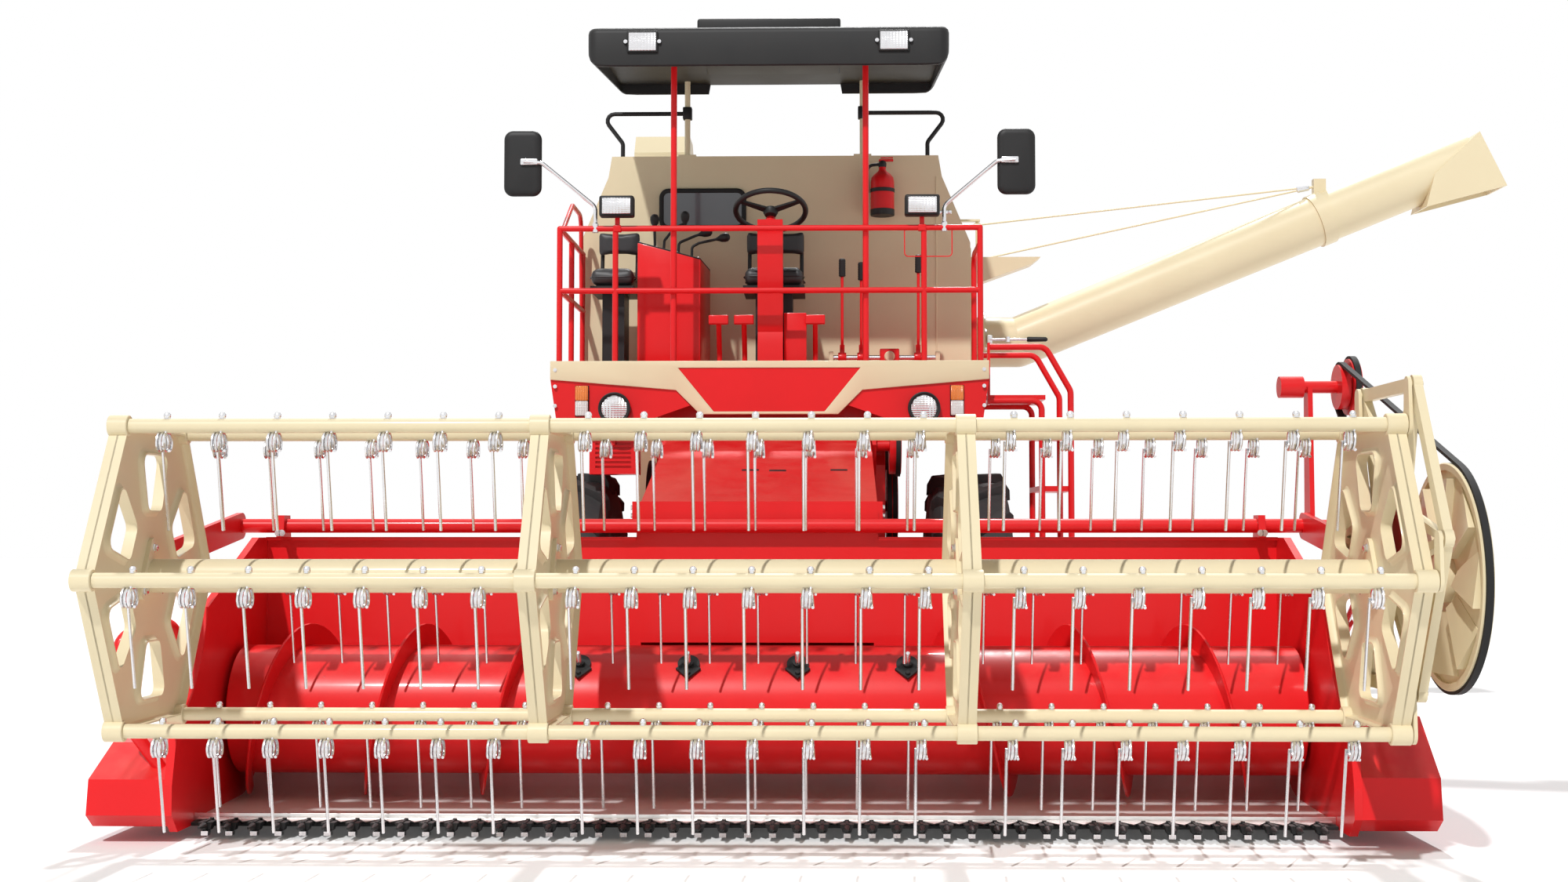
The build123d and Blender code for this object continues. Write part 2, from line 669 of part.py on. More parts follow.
with BuildPart() as drive_belts:
    for hand, first, second, lane in (("left", "engine", "clutch", 0), ("left", "clutch", "cylinder", 30),
                                      ("left", "cylinder", "beater", 0), ("left", "beater", "feeder", 30),
                                      ("right", "cylinder", "fan", 30),
                                      ("right", "fan", "walker", 0)):
        ends = []
        for name in (first, second):
            y, z, left_radius, right_radius = drive_shafts[name]
            ends.append((y, z, (left_radius if hand == "left" else right_radius) + run_gap))
        start_x = left_drive_x + 22 + lane if hand == "left" else -left_drive_x - 48 - lane
        belt(side_plane(start_x), ends[0], ends[1], belt_thickness, 24)
keep(drive_belts, "drive_belts")

# Driver's platform: floor, legs down to the body, and the fascia under its front edge

platform_half = platform_width / 2
band_end_low = 1935    # cream band's lower edge at the fascia's outer ends
band_mid_low = 1880    # and where it turns down beside the middle
strip_low = 1755
with BuildPart() as fascia:
    slab([(-platform_half, band_end_low), (-platform_half, fascia_top), (platform_half, fascia_top),
          (platform_half, band_end_low), (480, band_mid_low), (355, strip_low), (-355, strip_low),
          (-480, band_mid_low)], front_plane(platform_front_y + fascia_thickness), fascia_thickness)
    slab([(-470, 1995), (470, 1995), (285, strip_low + 14), (-285, strip_low + 14)],
         front_plane(platform_front_y + fascia_thickness), fascia_thickness, Mode.SUBTRACT)
keep(fascia, "fascia_band")

with BuildPart() as platform:
    block((-platform_half, platform_front_y + fascia_thickness, platform_top - platform_thickness),
          (platform_half, tank_front_y, platform_top))
    for side in (1, -1):
        low_x, high_x = sorted((side * 520, side * 560))
        block((low_x, platform_front_y + 60, deck_height - 140), (high_x, body_front_y + 60, deck_height))
        low_x, high_x = sorted((side * 1050, side * 1090))
        block((low_x, platform_front_y + 60, deck_height - 90), (high_x, tank_front_y - 40, deck_height))
    for y in (platform_front_y + 60, tank_front_y - 100):
        inner = 560 if y < body_front_y else body_half
        block((-1050, y, deck_height - 80), (-inner, y + 40, deck_height))
        block((inner, y, deck_height - 80), (1050, y + 40, deck_height))
    block((-936, platform_front_y + 90, 1450), (-689, platform_front_y + 290, 1640))
    for step in range(6):
        z = 1482 + 24 * step
        block((-905, platform_front_y + 89, z), (-720, platform_front_y + 104, z + 12), Mode.SUBTRACT)
    block((-830, platform_front_y + 70, 1600), (-800, platform_front_y + 100, deck_height - 60))
    slab([(-470 + 1, 1995 - 1), (470 - 1, 1995 - 1), (285 - 1, strip_low + 15), (-285 + 1, strip_low + 15)],
         front_plane(platform_front_y + fascia_thickness), fascia_thickness - 6)
    for side in (1, -1):
        slab([(side * platform_half, band_end_low), (side * 480, band_mid_low), (side * 406, 1802),
              (side * 640, 1720), (side * 940, 1700), (side * (platform_half - 30), 1735)][::-side],
             front_plane(platform_front_y + fascia_thickness), 14)
keep(platform, "operator_platform")

lamp_z = 1785
rail_in = platform_half - 40
rail_front = platform_front_y + 50
with BuildPart() as lamps:
    for side in (1, -1):
        bar((side * 795, platform_front_y + fascia_thickness - 14, lamp_z),
            (side * 795, platform_front_y - 24, lamp_z), 84)
        block((side * 965 - 36, platform_front_y - 14, lamp_z - 40),
              (side * 965 + 36, platform_front_y + fascia_thickness - 14, lamp_z + 120))
        block((side * 640 - 79, canopy_front_y - 14, canopy_underside - 60),
              (side * 640 + 79, canopy_front_y, canopy_underside + 50))
        block((side * 790 - 90, rail_front - 70, top_rail_height + 55),
              (side * 790 + 90, rail_front + 10, top_rail_height + 165))
        block((side * 790 - 10, rail_front - 12, top_rail_height + rail_tube),
              (side * 790 + 10, rail_front + 8, top_rail_height + 55))
        block((side * 500 - 60, hood_end_y, 1700), (side * 500 + 60, hood_end_y + 26, 1800))
keep(lamps, "lamps")

# Guard rails round the platform, on their stanchions

with BuildPart() as rails:
    for z in (top_rail_height, mid_rail_height):
        bar((-rail_in, rail_front, z), (rail_in, rail_front, z), rail_tube)
        bar((-rail_in, rail_front, z), (-rail_in, tank_front_y - 20, z), rail_tube)
        for x, y in ((-rail_in, rail_front), (rail_in, rail_front)):
            with Locations((x, y, z)):
                Sphere(rail_tube)
    for x in (-rail_in, -rail_in + 290, rail_in - 290, rail_in):
        bar((x, rail_front, platform_top), (x, rail_front, top_rail_height), rail_tube)
    for y in (platform_front_y + 500, tank_front_y - 40):
        bar((-rail_in, y, platform_top), (-rail_in, y, top_rail_height), rail_tube)
    bent_tube([(rail_in, rail_front, 2640), (rail_in, -60, 2640), (rail_in, -60, platform_top)],
              rail_tube, 90)
keep(rails, "guard_rails")

# Canopy: a shallow tray with turned-down edges, two red posts in front, two pale ones behind

canopy_half = canopy_width / 2
canopy_rear_y = canopy_front_y + canopy_depth
handrail_z = 3540
canopy_rise = 100      # the roof's rear edge is this much higher than its front one
post_x = post_spacing / 2
front_post_y = rail_front + rail_tube + post_size / 2 + run_gap
rear_post_y = tank_front_y + tank_wall / 2


def roof_at(y):
    """Height of the canopy's underside at a place along the machine."""
    share = (y - canopy_front_y - 30) / (canopy_depth - 60)
    return canopy_underside + canopy_rise * share


with BuildPart() as posts:
    for side in (1, -1):
        bar((side * post_x, front_post_y, platform_top),
            (side * post_x, front_post_y, roof_at(front_post_y - post_size / 2)), post_size / 2)
        block((side * post_x - 50, front_post_y - 40, platform_top),
              (side * post_x + 50, front_post_y + 40, platform_top + 10))
        bar((side * post_x, rear_post_y, tank_top),
            (side * post_x, rear_post_y, roof_at(rear_post_y - post_size / 2)), post_size / 2)
        block((side * post_x - 50, tank_front_y, tank_top),
              (side * post_x + 50, tank_front_y + tank_wall, tank_top + 10))
keep(posts, "canopy_posts")

with BuildPart() as canopy:
    slab([(canopy_front_y, canopy_underside - 130),
          (canopy_front_y, canopy_underside + canopy_thickness - 10),
          (canopy_front_y + 40, canopy_underside + canopy_thickness + 10),
          (canopy_rear_y, canopy_underside + canopy_rise + canopy_thickness),
          (canopy_rear_y, canopy_underside + canopy_rise - 70)], side_plane(-canopy_half), canopy_width)
    slab([(canopy_front_y + 30, canopy_underside - 160), (canopy_front_y + 30, canopy_underside),
          (canopy_rear_y - 30, canopy_underside + canopy_rise), (canopy_rear_y - 30, canopy_underside - 160)],
         side_plane(-canopy_half + 30), canopy_width - 60, Mode.SUBTRACT)
    block((-370, canopy_front_y + 120, canopy_underside + 40),
          (370, canopy_front_y + 900, canopy_underside + 150))
    for side in (1, -1):
        x = side * post_x
        bent_tube([(x + side * (post_size / 2 + run_gap), rear_post_y, handrail_z),
                   (side * 1000, rear_post_y, handrail_z), (side * 870, rear_post_y, tank_top + 80),
                   (side * 870, rear_post_y, tank_top)], 12, 40)
keep(canopy, "canopy")

with BuildPart() as mirrors:
    for side in (1, -1):
        bent_tube([(side * 905, rail_front, top_rail_height + rail_tube), (side * 905, rail_front, 2840),
                   (side * 1150, rail_front - 50, 3040), (side * 1250, rail_front - 80, 3060)], 9, 30)
        block((side * 1270 - 97, rail_front - 110, 2880), (side * 1270 + 97, rail_front - 80, 3220))
keep(mirrors, "mirrors")

# Controls: console with levers, pedals and hand levers, steering column and wheel

lever_shaft_z = 2100
wheel_y = -290
wheel_z = 2850
steer_radius = 185
wheel_plane = Plane(origin=(0, wheel_y, wheel_z), x_dir=(1, 0, 0), z_dir=(0, 0.42, 0.91))
with BuildPart() as console:
    slab([(-710, platform_top), (-710, 2690), (-515, 2630), (-370, 2570), (-320, 2510), (-320, platform_top)],
         front_plane(-150), -340)
    for x, foot_z, knob_z in ((-637, 2660, 2870), (-489, 2610, 2830), (-400, 2570, 2790), (-345, 2530, 2750)):
        bar((x, 40, foot_z), (x + 8, 0, knob_z), 7)
        with Locations((x + 8, 0, knob_z)):
            Sphere(18)
    for x, grip_z in ((380, 2540), (484, 2520), (794, 2560)):
        bar((x, 60, lever_shaft_z), (x, 10, grip_z), 9)
        bar((x, 10, grip_z), (x, 0, grip_z + 90), 17)
    bar((310, 60, lever_shaft_z), (920, 60, lever_shaft_z), 14)
    for x in (320, 560, 900):
        block((x - 12, 30, platform_top), (x + 12, 90, lever_shaft_z + 20))
    for x in (-274, -140, 236):
        block((x - 20, -225, platform_top), (x + 20, -175, platform_top + 20))
        bar((x, -200, platform_top + 10), (x, -300, platform_top + 260), 9)
        block((x - 50, -330, platform_top + 245), (x + 50, -300, platform_top + 290))
    slab([(wheel_y - 60, platform_top), (wheel_y - 80, 2300), (wheel_y - 20, wheel_z - 60),
          (wheel_y + 40, wheel_z - 60),
          (wheel_y + 50, 2300), (wheel_y + 90, platform_top)], side_plane(-70), 134)
    block((70, wheel_y - 20, platform_top), (190, wheel_y + 120, 2310))
    bar(tuple(wheel_plane.offset(-8).origin), tuple(wheel_plane.offset(-90).origin), 20)
keep(console, "control_console")

with BuildPart() as steering_wheel:
    with BuildSketch(Plane(origin=wheel_plane.origin, x_dir=wheel_plane.x_dir,
                           z_dir=wheel_plane.y_dir)) as rim_section:
        with Locations((steer_radius, 0)):
            RegularPolygon(14, 8)
    revolve(rim_section.sketch, axis=Axis(wheel_plane.origin, wheel_plane.z_dir))
    with BuildSketch(wheel_plane.offset(-8)) as spokes:
        with PolarLocations(steer_radius / 2, 3, start_angle=90):
            Rectangle(steer_radius, 24)
        Circle(34)
    extrude(spokes.sketch, amount=16)
keep(steering_wheel, "steering_wheel")

# Seats: frame, cushion and backrest

seat_rows = (
    # name, middle x, half width, seat y, cushion top, stand width
    ("driver_seat", 10, 176, 110, 2580, 200),
    ("passenger_seat", -865, 128, 110, 2580, 120),
)
with BuildPart() as seat_frames:
    for _, seat_x, half, seat_y, cushion_top, stand in seat_rows:
        block((seat_x - stand / 2, seat_y - 120, platform_top),
              (seat_x + stand / 2, seat_y + 120, cushion_top - 110))
        block((seat_x - half + 10, seat_y - 190, cushion_top - 130),
              (seat_x + half - 10, seat_y + 190, cushion_top - 100))
        for side in (1, -1):
            bar((seat_x + side * (half - 30), seat_y + 170, cushion_top - 115),
                (seat_x + side * (half - 30), seat_y + 215, cushion_top + 190), 11)
keep(seat_frames, "seat_frames")

with BuildPart() as cushions:
    for _, seat_x, half, seat_y, cushion_top, _ in seat_rows:
        with BuildSketch(Plane.XY.offset(cushion_top - 100 + run_gap)) as pad:
            with Locations((seat_x, seat_y - 25)):
                RectangleRounded(2 * half, 360, 40)
        extrude(pad.sketch, amount=100 - run_gap)
        slab([(seat_y + 134, cushion_top + 110), (seat_y + 191.8, cushion_top + 110),
              (seat_y + 212.4, cushion_top + 250), (seat_y + 148, cushion_top + 250)],
             side_plane(seat_x - half + 4), 2 * half - 8)
keep(cushions, "seat_cushions")

with BuildPart() as extinguisher:
    bar((610, tank_front_y - 90, 2930), (610, tank_front_y - 90, 3190), 68)
    bar((610, tank_front_y - 90, 3190), (610, tank_front_y - 90, 3250), 22)
    block((580, tank_front_y - 130, 3240), (670, tank_front_y - 50, 3262))
    block((550, tank_front_y - 20, 3010), (670, tank_front_y, 3130))
    block((595, tank_front_y - 40, 3030), (625, tank_front_y - 20, 3110))
keep(extinguisher, "fire_extinguisher")

# Ladder on the left, hung from the platform's edge

ladder_in = platform_half + 40
ladder_out = platform_half + 300
ladder_front = -420
ladder_rear = 60
with BuildPart() as ladder:
    for y in (ladder_front, ladder_rear):
        bent_tube([(platform_half, y, 2110), (ladder_out, y, 2110), (ladder_out + 130, y, 1880),
                   (ladder_out + 130, y, 700)], 16, 60)
        bent_tube([(platform_half, y, 1830), (ladder_out - 20, y, 1830), (ladder_out - 20, y, 700)], 16, 50)
        bar((ladder_out - 20, y, 700), (ladder_out + 130, y, 700), 16)
        block((platform_half, y - 25, 1810), (platform_half + 12, y + 25, 2130))
    for z in (800, 1080, 1360, 1640):
        block((ladder_out - 36, ladder_front, z), (ladder_out + 146, ladder_rear, z + 28))
    block((platform_half, ladder_front, 1836), (ladder_out, ladder_rear, 1860))
keep(ladder, "ladder")

# Feeder house: open tunnel from the header's back to the threshing body

feeder_half = feeder_width / 2
feeder_front_y = header_back_y + sheet
with BuildPart() as feeder:
    slab([(feeder_front_y, feeder_mouth_bottom), (feeder_front_y, feeder_mouth_top),
          (lift_pivot_y, lift_pivot_z + 75), (lift_pivot_y + 60, lift_pivot_z + 40),
          (lift_pivot_y + 60, 1120)], side_plane(-feeder_half), feeder_width)
    slab([(feeder_front_y - 10, feeder_mouth_bottom + feeder_wall),
          (feeder_front_y - 10, feeder_mouth_top - 90),
          (lift_pivot_y - 60, lift_pivot_z - 80), (lift_pivot_y + 80, lift_pivot_z - 80),
          (lift_pivot_y + 80, 1160)],
         side_plane(-feeder_half + feeder_wall), feeder_width - 2 * feeder_wall, Mode.SUBTRACT)
    block((-feeder_half - 20, feeder_front_y, feeder_mouth_top - 40),
          (feeder_half + 20, feeder_front_y + 90, feeder_mouth_top + 45))
    for side in (1, -1):
        low_x, high_x = sorted((side * (feeder_half - 4), side * (feeder_half + rib_rise)))
        for y in (-1700, -1300, -900):
            rise = (y - feeder_front_y) * (lift_pivot_z - feeder_mouth_top) / (lift_pivot_y - feeder_front_y)
            block((low_x, y, feeder_mouth_bottom + 2.66 * rise + 40),
                  (high_x, y + 40, feeder_mouth_top + rise - 60))
    bar((-feeder_half, lift_pivot_y, lift_pivot_z), (feeder_half, lift_pivot_y, lift_pivot_z),
        pivot_shaft_radius + run_gap, Mode.SUBTRACT)
    for side in (1, -1):
        for x in (lift_cylinder_x - lift_ear_gap - lift_ear, lift_cylinder_x + lift_ear_gap):
            slab([(lift_eye_y - 80, lift_eye_z + 60), (lift_eye_y - 30, lift_eye_z - 30),
                  (lift_eye_y + 30, lift_eye_z - 30),
                  (lift_eye_y + 140, lift_eye_z + 180)], side_plane(x if side > 0 else -x - lift_ear),
                  lift_ear)
        bar((side * (lift_cylinder_x - lift_ear_gap - lift_ear), lift_eye_y, lift_eye_z),
            (side * (lift_cylinder_x + lift_ear_gap + lift_ear), lift_eye_y, lift_eye_z), lift_pin_radius)
keep(feeder, "feeder_house")


# A hydraulic cylinder is a barrel that swings on its base pin and a rod that slides out of it


def barrel(base, eye, reach, radius, pin, half):
    """Add a barrel from its base eye, of half the given width, towards the rod's eye."""
    along = (Vector(*eye) - Vector(*base)).normalized()
    mouth = Vector(*base) + along * reach
    bar((base[0] - half, base[1], base[2]), (base[0] + half, base[1], base[2]), pin * 2)
    bar(tuple(Vector(*base) + along * pin), tuple(mouth), radius)
    bar(tuple(Vector(*base) + along * (pin * 2 + 30)), tuple(mouth + along), radius * 0.5 + run_gap,
        Mode.SUBTRACT)
    bar((base[0] - half - 1, base[1], base[2]), (base[0] + half + 1, base[1], base[2]), pin + run_gap,
        Mode.SUBTRACT)


def rod(base, eye, start, radius, bore, half):
    """Add a rod from inside its barrel to the eye at its end, whose bore leaves room for the pin's drift."""
    along = (Vector(*eye) - Vector(*base)).normalized()
    bar(tuple(Vector(*base) + along * start), tuple(Vector(*eye) - along * bore), radius)
    bar((eye[0] - half, eye[1], eye[2]), (eye[0] + half, eye[1], eye[2]), bore + rod_eye_wall)
    bar((eye[0] - half - 1, eye[1], eye[2]), (eye[0] + half + 1, eye[1], eye[2]), bore, Mode.SUBTRACT)


def lift_ends(side):
    """The base pin and the rod's eye of one header lift cylinder."""
    return ((side * lift_cylinder_x, lift_base_y, lift_base_z),
            (side * lift_cylinder_x, lift_eye_y, lift_eye_z))


with BuildPart() as lift_barrels:
    for side in (1, -1):
        barrel(*lift_ends(side), 900, 40, lift_pin_radius, lift_ear_gap - 1)
keep(lift_barrels, "lift_barrels")
with BuildPart() as lift_rods:
    for side in (1, -1):
        rod(*lift_ends(side), 120, 20, lift_pin_radius + lift_eye_slack, lift_ear_gap - 1)
keep(lift_rods, "lift_rods")

# Header pan: worn steel floor, trough round the auger, back sheet with the feeder's mouth

header_half = side_sheet_x
trough_radius = auger_flight_radius + 25
with BuildPart() as pan:
    with BuildSketch(side_plane(header_offset - header_half)) as section:
        with BuildLine():
            Polyline((knife_y + 40, floor_height), (auger_y, auger_height - trough_radius))
            ThreePointArc((auger_y, auger_height - trough_radius),
                          (auger_y + trough_radius * sin(pi / 4), auger_height - trough_radius * cos(pi / 4)),
                          (auger_y + trough_radius, auger_height))
            Polyline((auger_y + trough_radius, auger_height), (header_back_y, beam_top),
                     (header_back_y + sheet, beam_top), (auger_y + trough_radius + sheet, auger_height))
            ThreePointArc((auger_y + trough_radius + sheet, auger_height),
                          (auger_y + (trough_radius + sheet) * sin(pi / 4),
                           auger_height - (trough_radius + sheet) * cos(pi / 4)),
                          (auger_y, auger_height - trough_radius - sheet))
            Polyline((auger_y, auger_height - trough_radius - sheet), (knife_y + 40, floor_height - sheet),
                     (knife_y + 40, floor_height))
        make_face()
    extrude(section.sketch, amount=header_inside)
    block((-feeder_half + feeder_wall, auger_y + 100, 170),
          (feeder_half - feeder_wall, header_back_y + 60, header_mouth_top),
          Mode.SUBTRACT)
keep(pan, "header_pan")

# Side sheets, cut away round the reel, with the crop dividers ahead of them

reel_clear = reel_radius + 62
nose_ahead = 220       # divider's nose ahead of the knife
nose_y = knife_y - nose_ahead


def on_reel_cut(angle):
    """Point (y, z) on the arc that clears the reel, an angle below the horizontal."""
    return (reel_y + reel_clear * cos(radians(angle)), reel_z - reel_clear * sin(radians(angle)))


def side_sheet_outline():
    """Draw a header side: nose, edge cut round the reel, rear edge up to the arm pivot."""
    Polyline(on_reel_cut(62), (nose_y, 220), (nose_y, 110), (nose_y + 70, 40), (auger_y, 40),
             (header_back_y + 60, 90), (header_back_y + 60, beam_top + 10), (arm_pivot_y - 90, beam_top + 10),
             on_reel_cut(12))
    ThreePointArc(on_reel_cut(12), on_reel_cut(40), on_reel_cut(62))


divider_width = 290
divider_top = 350
reel_lift_x = reel_plate_spacing * 1.5 + 97 + arm_thickness + 40
reel_lift_base = (header_back_y - 140, 560)
reel_lift_pin_radius = 12
reel_lift_eye_half = 20
with BuildPart() as header_frame:
    slab([(header_back_y + sheet, beam_top - 180), (header_back_y + sheet, beam_top),
          (header_back_y - 30, beam_top), (header_back_y - 30, beam_top + 12),
          (header_back_y + 70, beam_top + 12),
          (header_back_y + 70, beam_top - 168), (header_back_y + 100, beam_top - 168),
          (header_back_y + 100, beam_top - 180)], side_plane(header_offset - header_half),
          header_inside / 2 - feeder_half - header_offset)
    slab([(header_back_y + sheet, beam_top - 180), (header_back_y + sheet, beam_top),
          (header_back_y - 30, beam_top), (header_back_y - 30, beam_top + 12),
          (header_back_y + 70, beam_top + 12),
          (header_back_y + 70, beam_top - 168), (header_back_y + 100, beam_top - 168),
          (header_back_y + 100, beam_top - 180)], side_plane(feeder_half),
          header_inside / 2 - feeder_half + header_offset)
    block((-feeder_half, header_back_y, beam_top), (feeder_half, header_back_y + sheet, feeder_mouth_top))
    for side in (1, -1):
        x = header_offset + side * (header_half - 80)
        slab([(arm_pivot_y - 60, beam_top + 12), (arm_pivot_y - 45, arm_pivot_z + 45),
              (arm_pivot_y + 45, arm_pivot_z + 45), (arm_pivot_y + 60, beam_top + 12)],
              side_plane(x - 15), 30)
        bar((x - 20, arm_pivot_y, arm_pivot_z), (x + 20, arm_pivot_y, arm_pivot_z),
            arm_tube_radius + run_gap, Mode.SUBTRACT)
    for side in (1, -1):
        start = header_offset + side * header_half
        with BuildSketch(side_plane(start)) as section:
            with BuildLine():
                side_sheet_outline()
            make_face()
            with Locations((auger_y, auger_height)):
                Circle(auger_shaft_radius + run_gap, mode=Mode.SUBTRACT)
        extrude(section.sketch, amount=side * side_thickness)
        bar((start + side * side_thickness, *reel_lift_base),
            (header_offset + side * (reel_lift_x + 30), *reel_lift_base),
            reel_lift_pin_radius)
    x = header_offset - header_half - side_thickness
    slab([(nose_y, 110), (nose_y + 20, 240), (knife_y + 40, divider_top), (auger_y - 100, divider_top),
          (auger_y + 60, 60), (nose_y + 70, 60)], side_plane(x), -divider_width)
    bent_tube([(x - 40, nose_y + 120, 250), (x - 190, nose_y + 60, 480), (x - 200, nose_y + 60, 760),
               (x - 60, nose_y + 240, 820), (x - 20, nose_y + 420, 330)], 24, 70)
    x = header_offset + header_half + side_thickness
    slab([(nose_y, 110), (nose_y + 20, 260), (knife_y + 40, 460), (header_back_y - 160, 460),
          (header_back_y - 60, 60), (nose_y + 70, 60)], side_plane(x), divider_width)
keep(header_frame, "header_frame")

# Cutter bar: bar with its guards, and the knife in them

guard_pitch = (header_inside - 60) / guard_count
with BuildPart() as cutter:
    block((header_offset - header_half, knife_y + 40 - 46, floor_height - sheet - 14),
          (header_offset + header_half, knife_y + 40, floor_height - sheet))
    block((header_offset - header_half, knife_y + 32, floor_height - sheet),
          (header_offset + header_half, knife_y + 40, floor_height + 22))
    with Locations(*[(header_offset - header_half + 30 + guard_pitch * (step + 0.5), 0, 0)
                     for step in range(guard_count)]):
        with BuildSketch(Plane.YZ) as guard:
            with BuildLine():
                Polyline((knife_y + 20, floor_height - sheet - 14), (knife_y + 20, floor_height - sheet),
                         (knife_y - 20, floor_height + 2),
                         (knife_y - guard_length, floor_height - 14), (knife_y - 30, floor_height - 30),
                         close=True)
            make_face()
        extrude(guard.sketch, amount=11, both=True)
    with BuildSketch(Plane.XY.offset(floor_height + 1)) as blade:
        with BuildLine():
            points = [(header_offset - header_half + 34, knife_y + 30)]
            for step in range(guard_count):
                x = header_offset - header_half + 34 + (guard_pitch - 0.2) * step
                points += [(x, knife_y + 2), (x + guard_pitch * 0.5, knife_y - 52)]
            points += [(header_offset + header_half - 34, knife_y + 2),
                       (header_offset + header_half - 34, knife_y + 30)]
            Polyline(*points, close=True)
        make_face()
    extrude(blade.sketch, amount=4)
keep(cutter, "cutter_bar")

# Auger: drum on its stub shafts, flights of opposite hands, retracting fingers in the middle

auger_half = header_half - 22
with BuildPart() as auger:
    bar((header_offset - auger_half, auger_y, auger_height),
        (header_offset + auger_half, auger_y, auger_height),
        auger_drum_radius)
    for side in (1, -1):
        bar((header_offset + side * (auger_half - 5), auger_y, auger_height),
            (header_offset + side * (header_half + side_thickness - 2), auger_y, auger_height),
            auger_shaft_radius)
        flight_start = header_offset + side * (auger_half - 20)
        middle_radius = (auger_drum_radius + auger_flight_radius) / 2 - 4
        with BuildLine() as path:
            Helix(pitch=flight_pitch, height=flight_pitch * flight_turns, radius=middle_radius,
                  center=(flight_start, auger_y, auger_height), direction=(-side, 0, 0), lefthand=side < 0)
        spiral = path.line
        with BuildSketch(Plane(origin=spiral @ 0, x_dir=(1, 0, 0), z_dir=spiral % 0)) as blade:
            Rectangle(8, auger_flight_radius - auger_drum_radius + 8)
        sweep(blade.sketch, path=spiral, is_frenet=True)
    for row, turn in ((0, 135), (0.5, 315)):
        for step in range(finger_count):
            x = header_offset - 85 + (step + row - 1.5) * finger_pitch
            out = Vector(0, cos(radians(turn)), sin(radians(turn)))
            axis = Vector(x, auger_y, auger_height)
            bar(tuple(axis + out * 200), tuple(axis + out * (auger_flight_radius + 14)), 9)
            with BuildSketch(Plane(origin=axis + out * (auger_drum_radius - 14), x_dir=(1, 0, 0),
                                   z_dir=out)) as plate:
                Polygon((-46, 0), (0, -64), (46, 0), (0, 64))
            extrude(plate.sketch, amount=20)
keep(auger, "auger")

# Reel arms on their cross tube, with the drive post and the eccentric that holds the tines level

arm_x = reel_plate_spacing * 1.5 + 97
arm_axis = (arm_pivot_y, arm_pivot_z)
reel_axis = (reel_y, reel_z)
post_pulley_z = arm_pivot_z + 590
small_pulley_radius = 95
eccentric_x = header_offset + arm_x - 42
reel_lift_eye = (header_back_y - 760, arm_pivot_z - 200)
with BuildPart() as arms:
    bar((header_offset - arm_x - arm_thickness, *arm_axis),
        (header_offset + arm_x + arm_thickness, *arm_axis), arm_tube_radius)
    for side in (1, -1):
        start = header_offset + (arm_x if side > 0 else -arm_x - arm_thickness)
        link(side_plane(start), (*arm_axis, 56), (*reel_axis, 52), arm_thickness,
             (0, reel_shaft_radius + run_gap))
    post_x = header_offset + arm_x
    slab([(arm_pivot_y - 50, arm_pivot_z), (arm_pivot_y - 36, post_pulley_z),
          (arm_pivot_y + 36, post_pulley_z),
          (arm_pivot_y + 50, arm_pivot_z)], side_plane(post_x + arm_thickness), 20)
    bar((post_x - 90, arm_pivot_y, post_pulley_z),
        (header_offset + reel_pulley_x + 40, arm_pivot_y, post_pulley_z), 26)
    bar((post_x - 90, arm_pivot_y, post_pulley_z), (post_x + 10, arm_pivot_y, post_pulley_z), 46)
    bar((header_offset + arm_x, *arm_axis), (header_offset + reel_pulley_x + 90, *arm_axis), 26)
    disc(side_plane(eccentric_x), (reel_y, reel_z + crank_rise), spider_hub_radius, 42)
    bar((eccentric_x - 1, *reel_axis), (eccentric_x + 43, *reel_axis), reel_shaft_radius + run_gap,
        Mode.SUBTRACT)
    disc(side_plane(header_offset + reel_pulley_x), (arm_pivot_y, post_pulley_z), small_pulley_radius, 40)
    disc(side_plane(header_offset + reel_pulley_x + 44), (arm_pivot_y, post_pulley_z), 120, 36)
    disc(side_plane(header_offset + reel_pulley_x + 44), arm_axis, 110, 36)
    for side in (1, -1):
        x = header_offset + side * (arm_x + arm_thickness)
        link(side_plane(x if side > 0 else x - 12), (*reel_lift_eye, 22),
             (reel_lift_eye[0] - 20, reel_lift_eye[1] + 90, 30), 12)
        bar((x, *reel_lift_eye), (header_offset + side * (reel_lift_x + 30), *reel_lift_eye),
            reel_lift_pin_radius)
keep(arms, "reel_arms")

with BuildPart() as reel_belts:
    belt(side_plane(header_offset + reel_pulley_x + 8),
         (arm_pivot_y, post_pulley_z, small_pulley_radius + run_gap),
         (*reel_axis, reel_pulley_radius + run_gap), belt_thickness, 24)
    belt(side_plane(header_offset + reel_pulley_x + 50), (arm_pivot_y, post_pulley_z, 120 + run_gap),
         (*arm_axis, 110 + run_gap), belt_thickness, 24)
keep(reel_belts, "reel_belts")

# Reel lift cylinders outside the arms

with BuildPart() as reel_lift_barrels:
    for side in (1, -1):
        x = header_offset + side * reel_lift_x
        barrel((x, *reel_lift_base), (x, *reel_lift_eye), 420, 26, reel_lift_pin_radius, reel_lift_eye_half)
keep(reel_lift_barrels, "reel_lift_barrels")
with BuildPart() as reel_lift_rods:
    for side in (1, -1):
        x = header_offset + side * reel_lift_x
        rod((x, *reel_lift_base), (x, *reel_lift_eye), 70, 13, reel_lift_pin_radius + reel_eye_slack,
            reel_lift_eye_half)
keep(reel_lift_rods, "reel_lift_rods")

# Reel: hexagonal pressed plates on the centre tube, shaft, and the big driven pulley

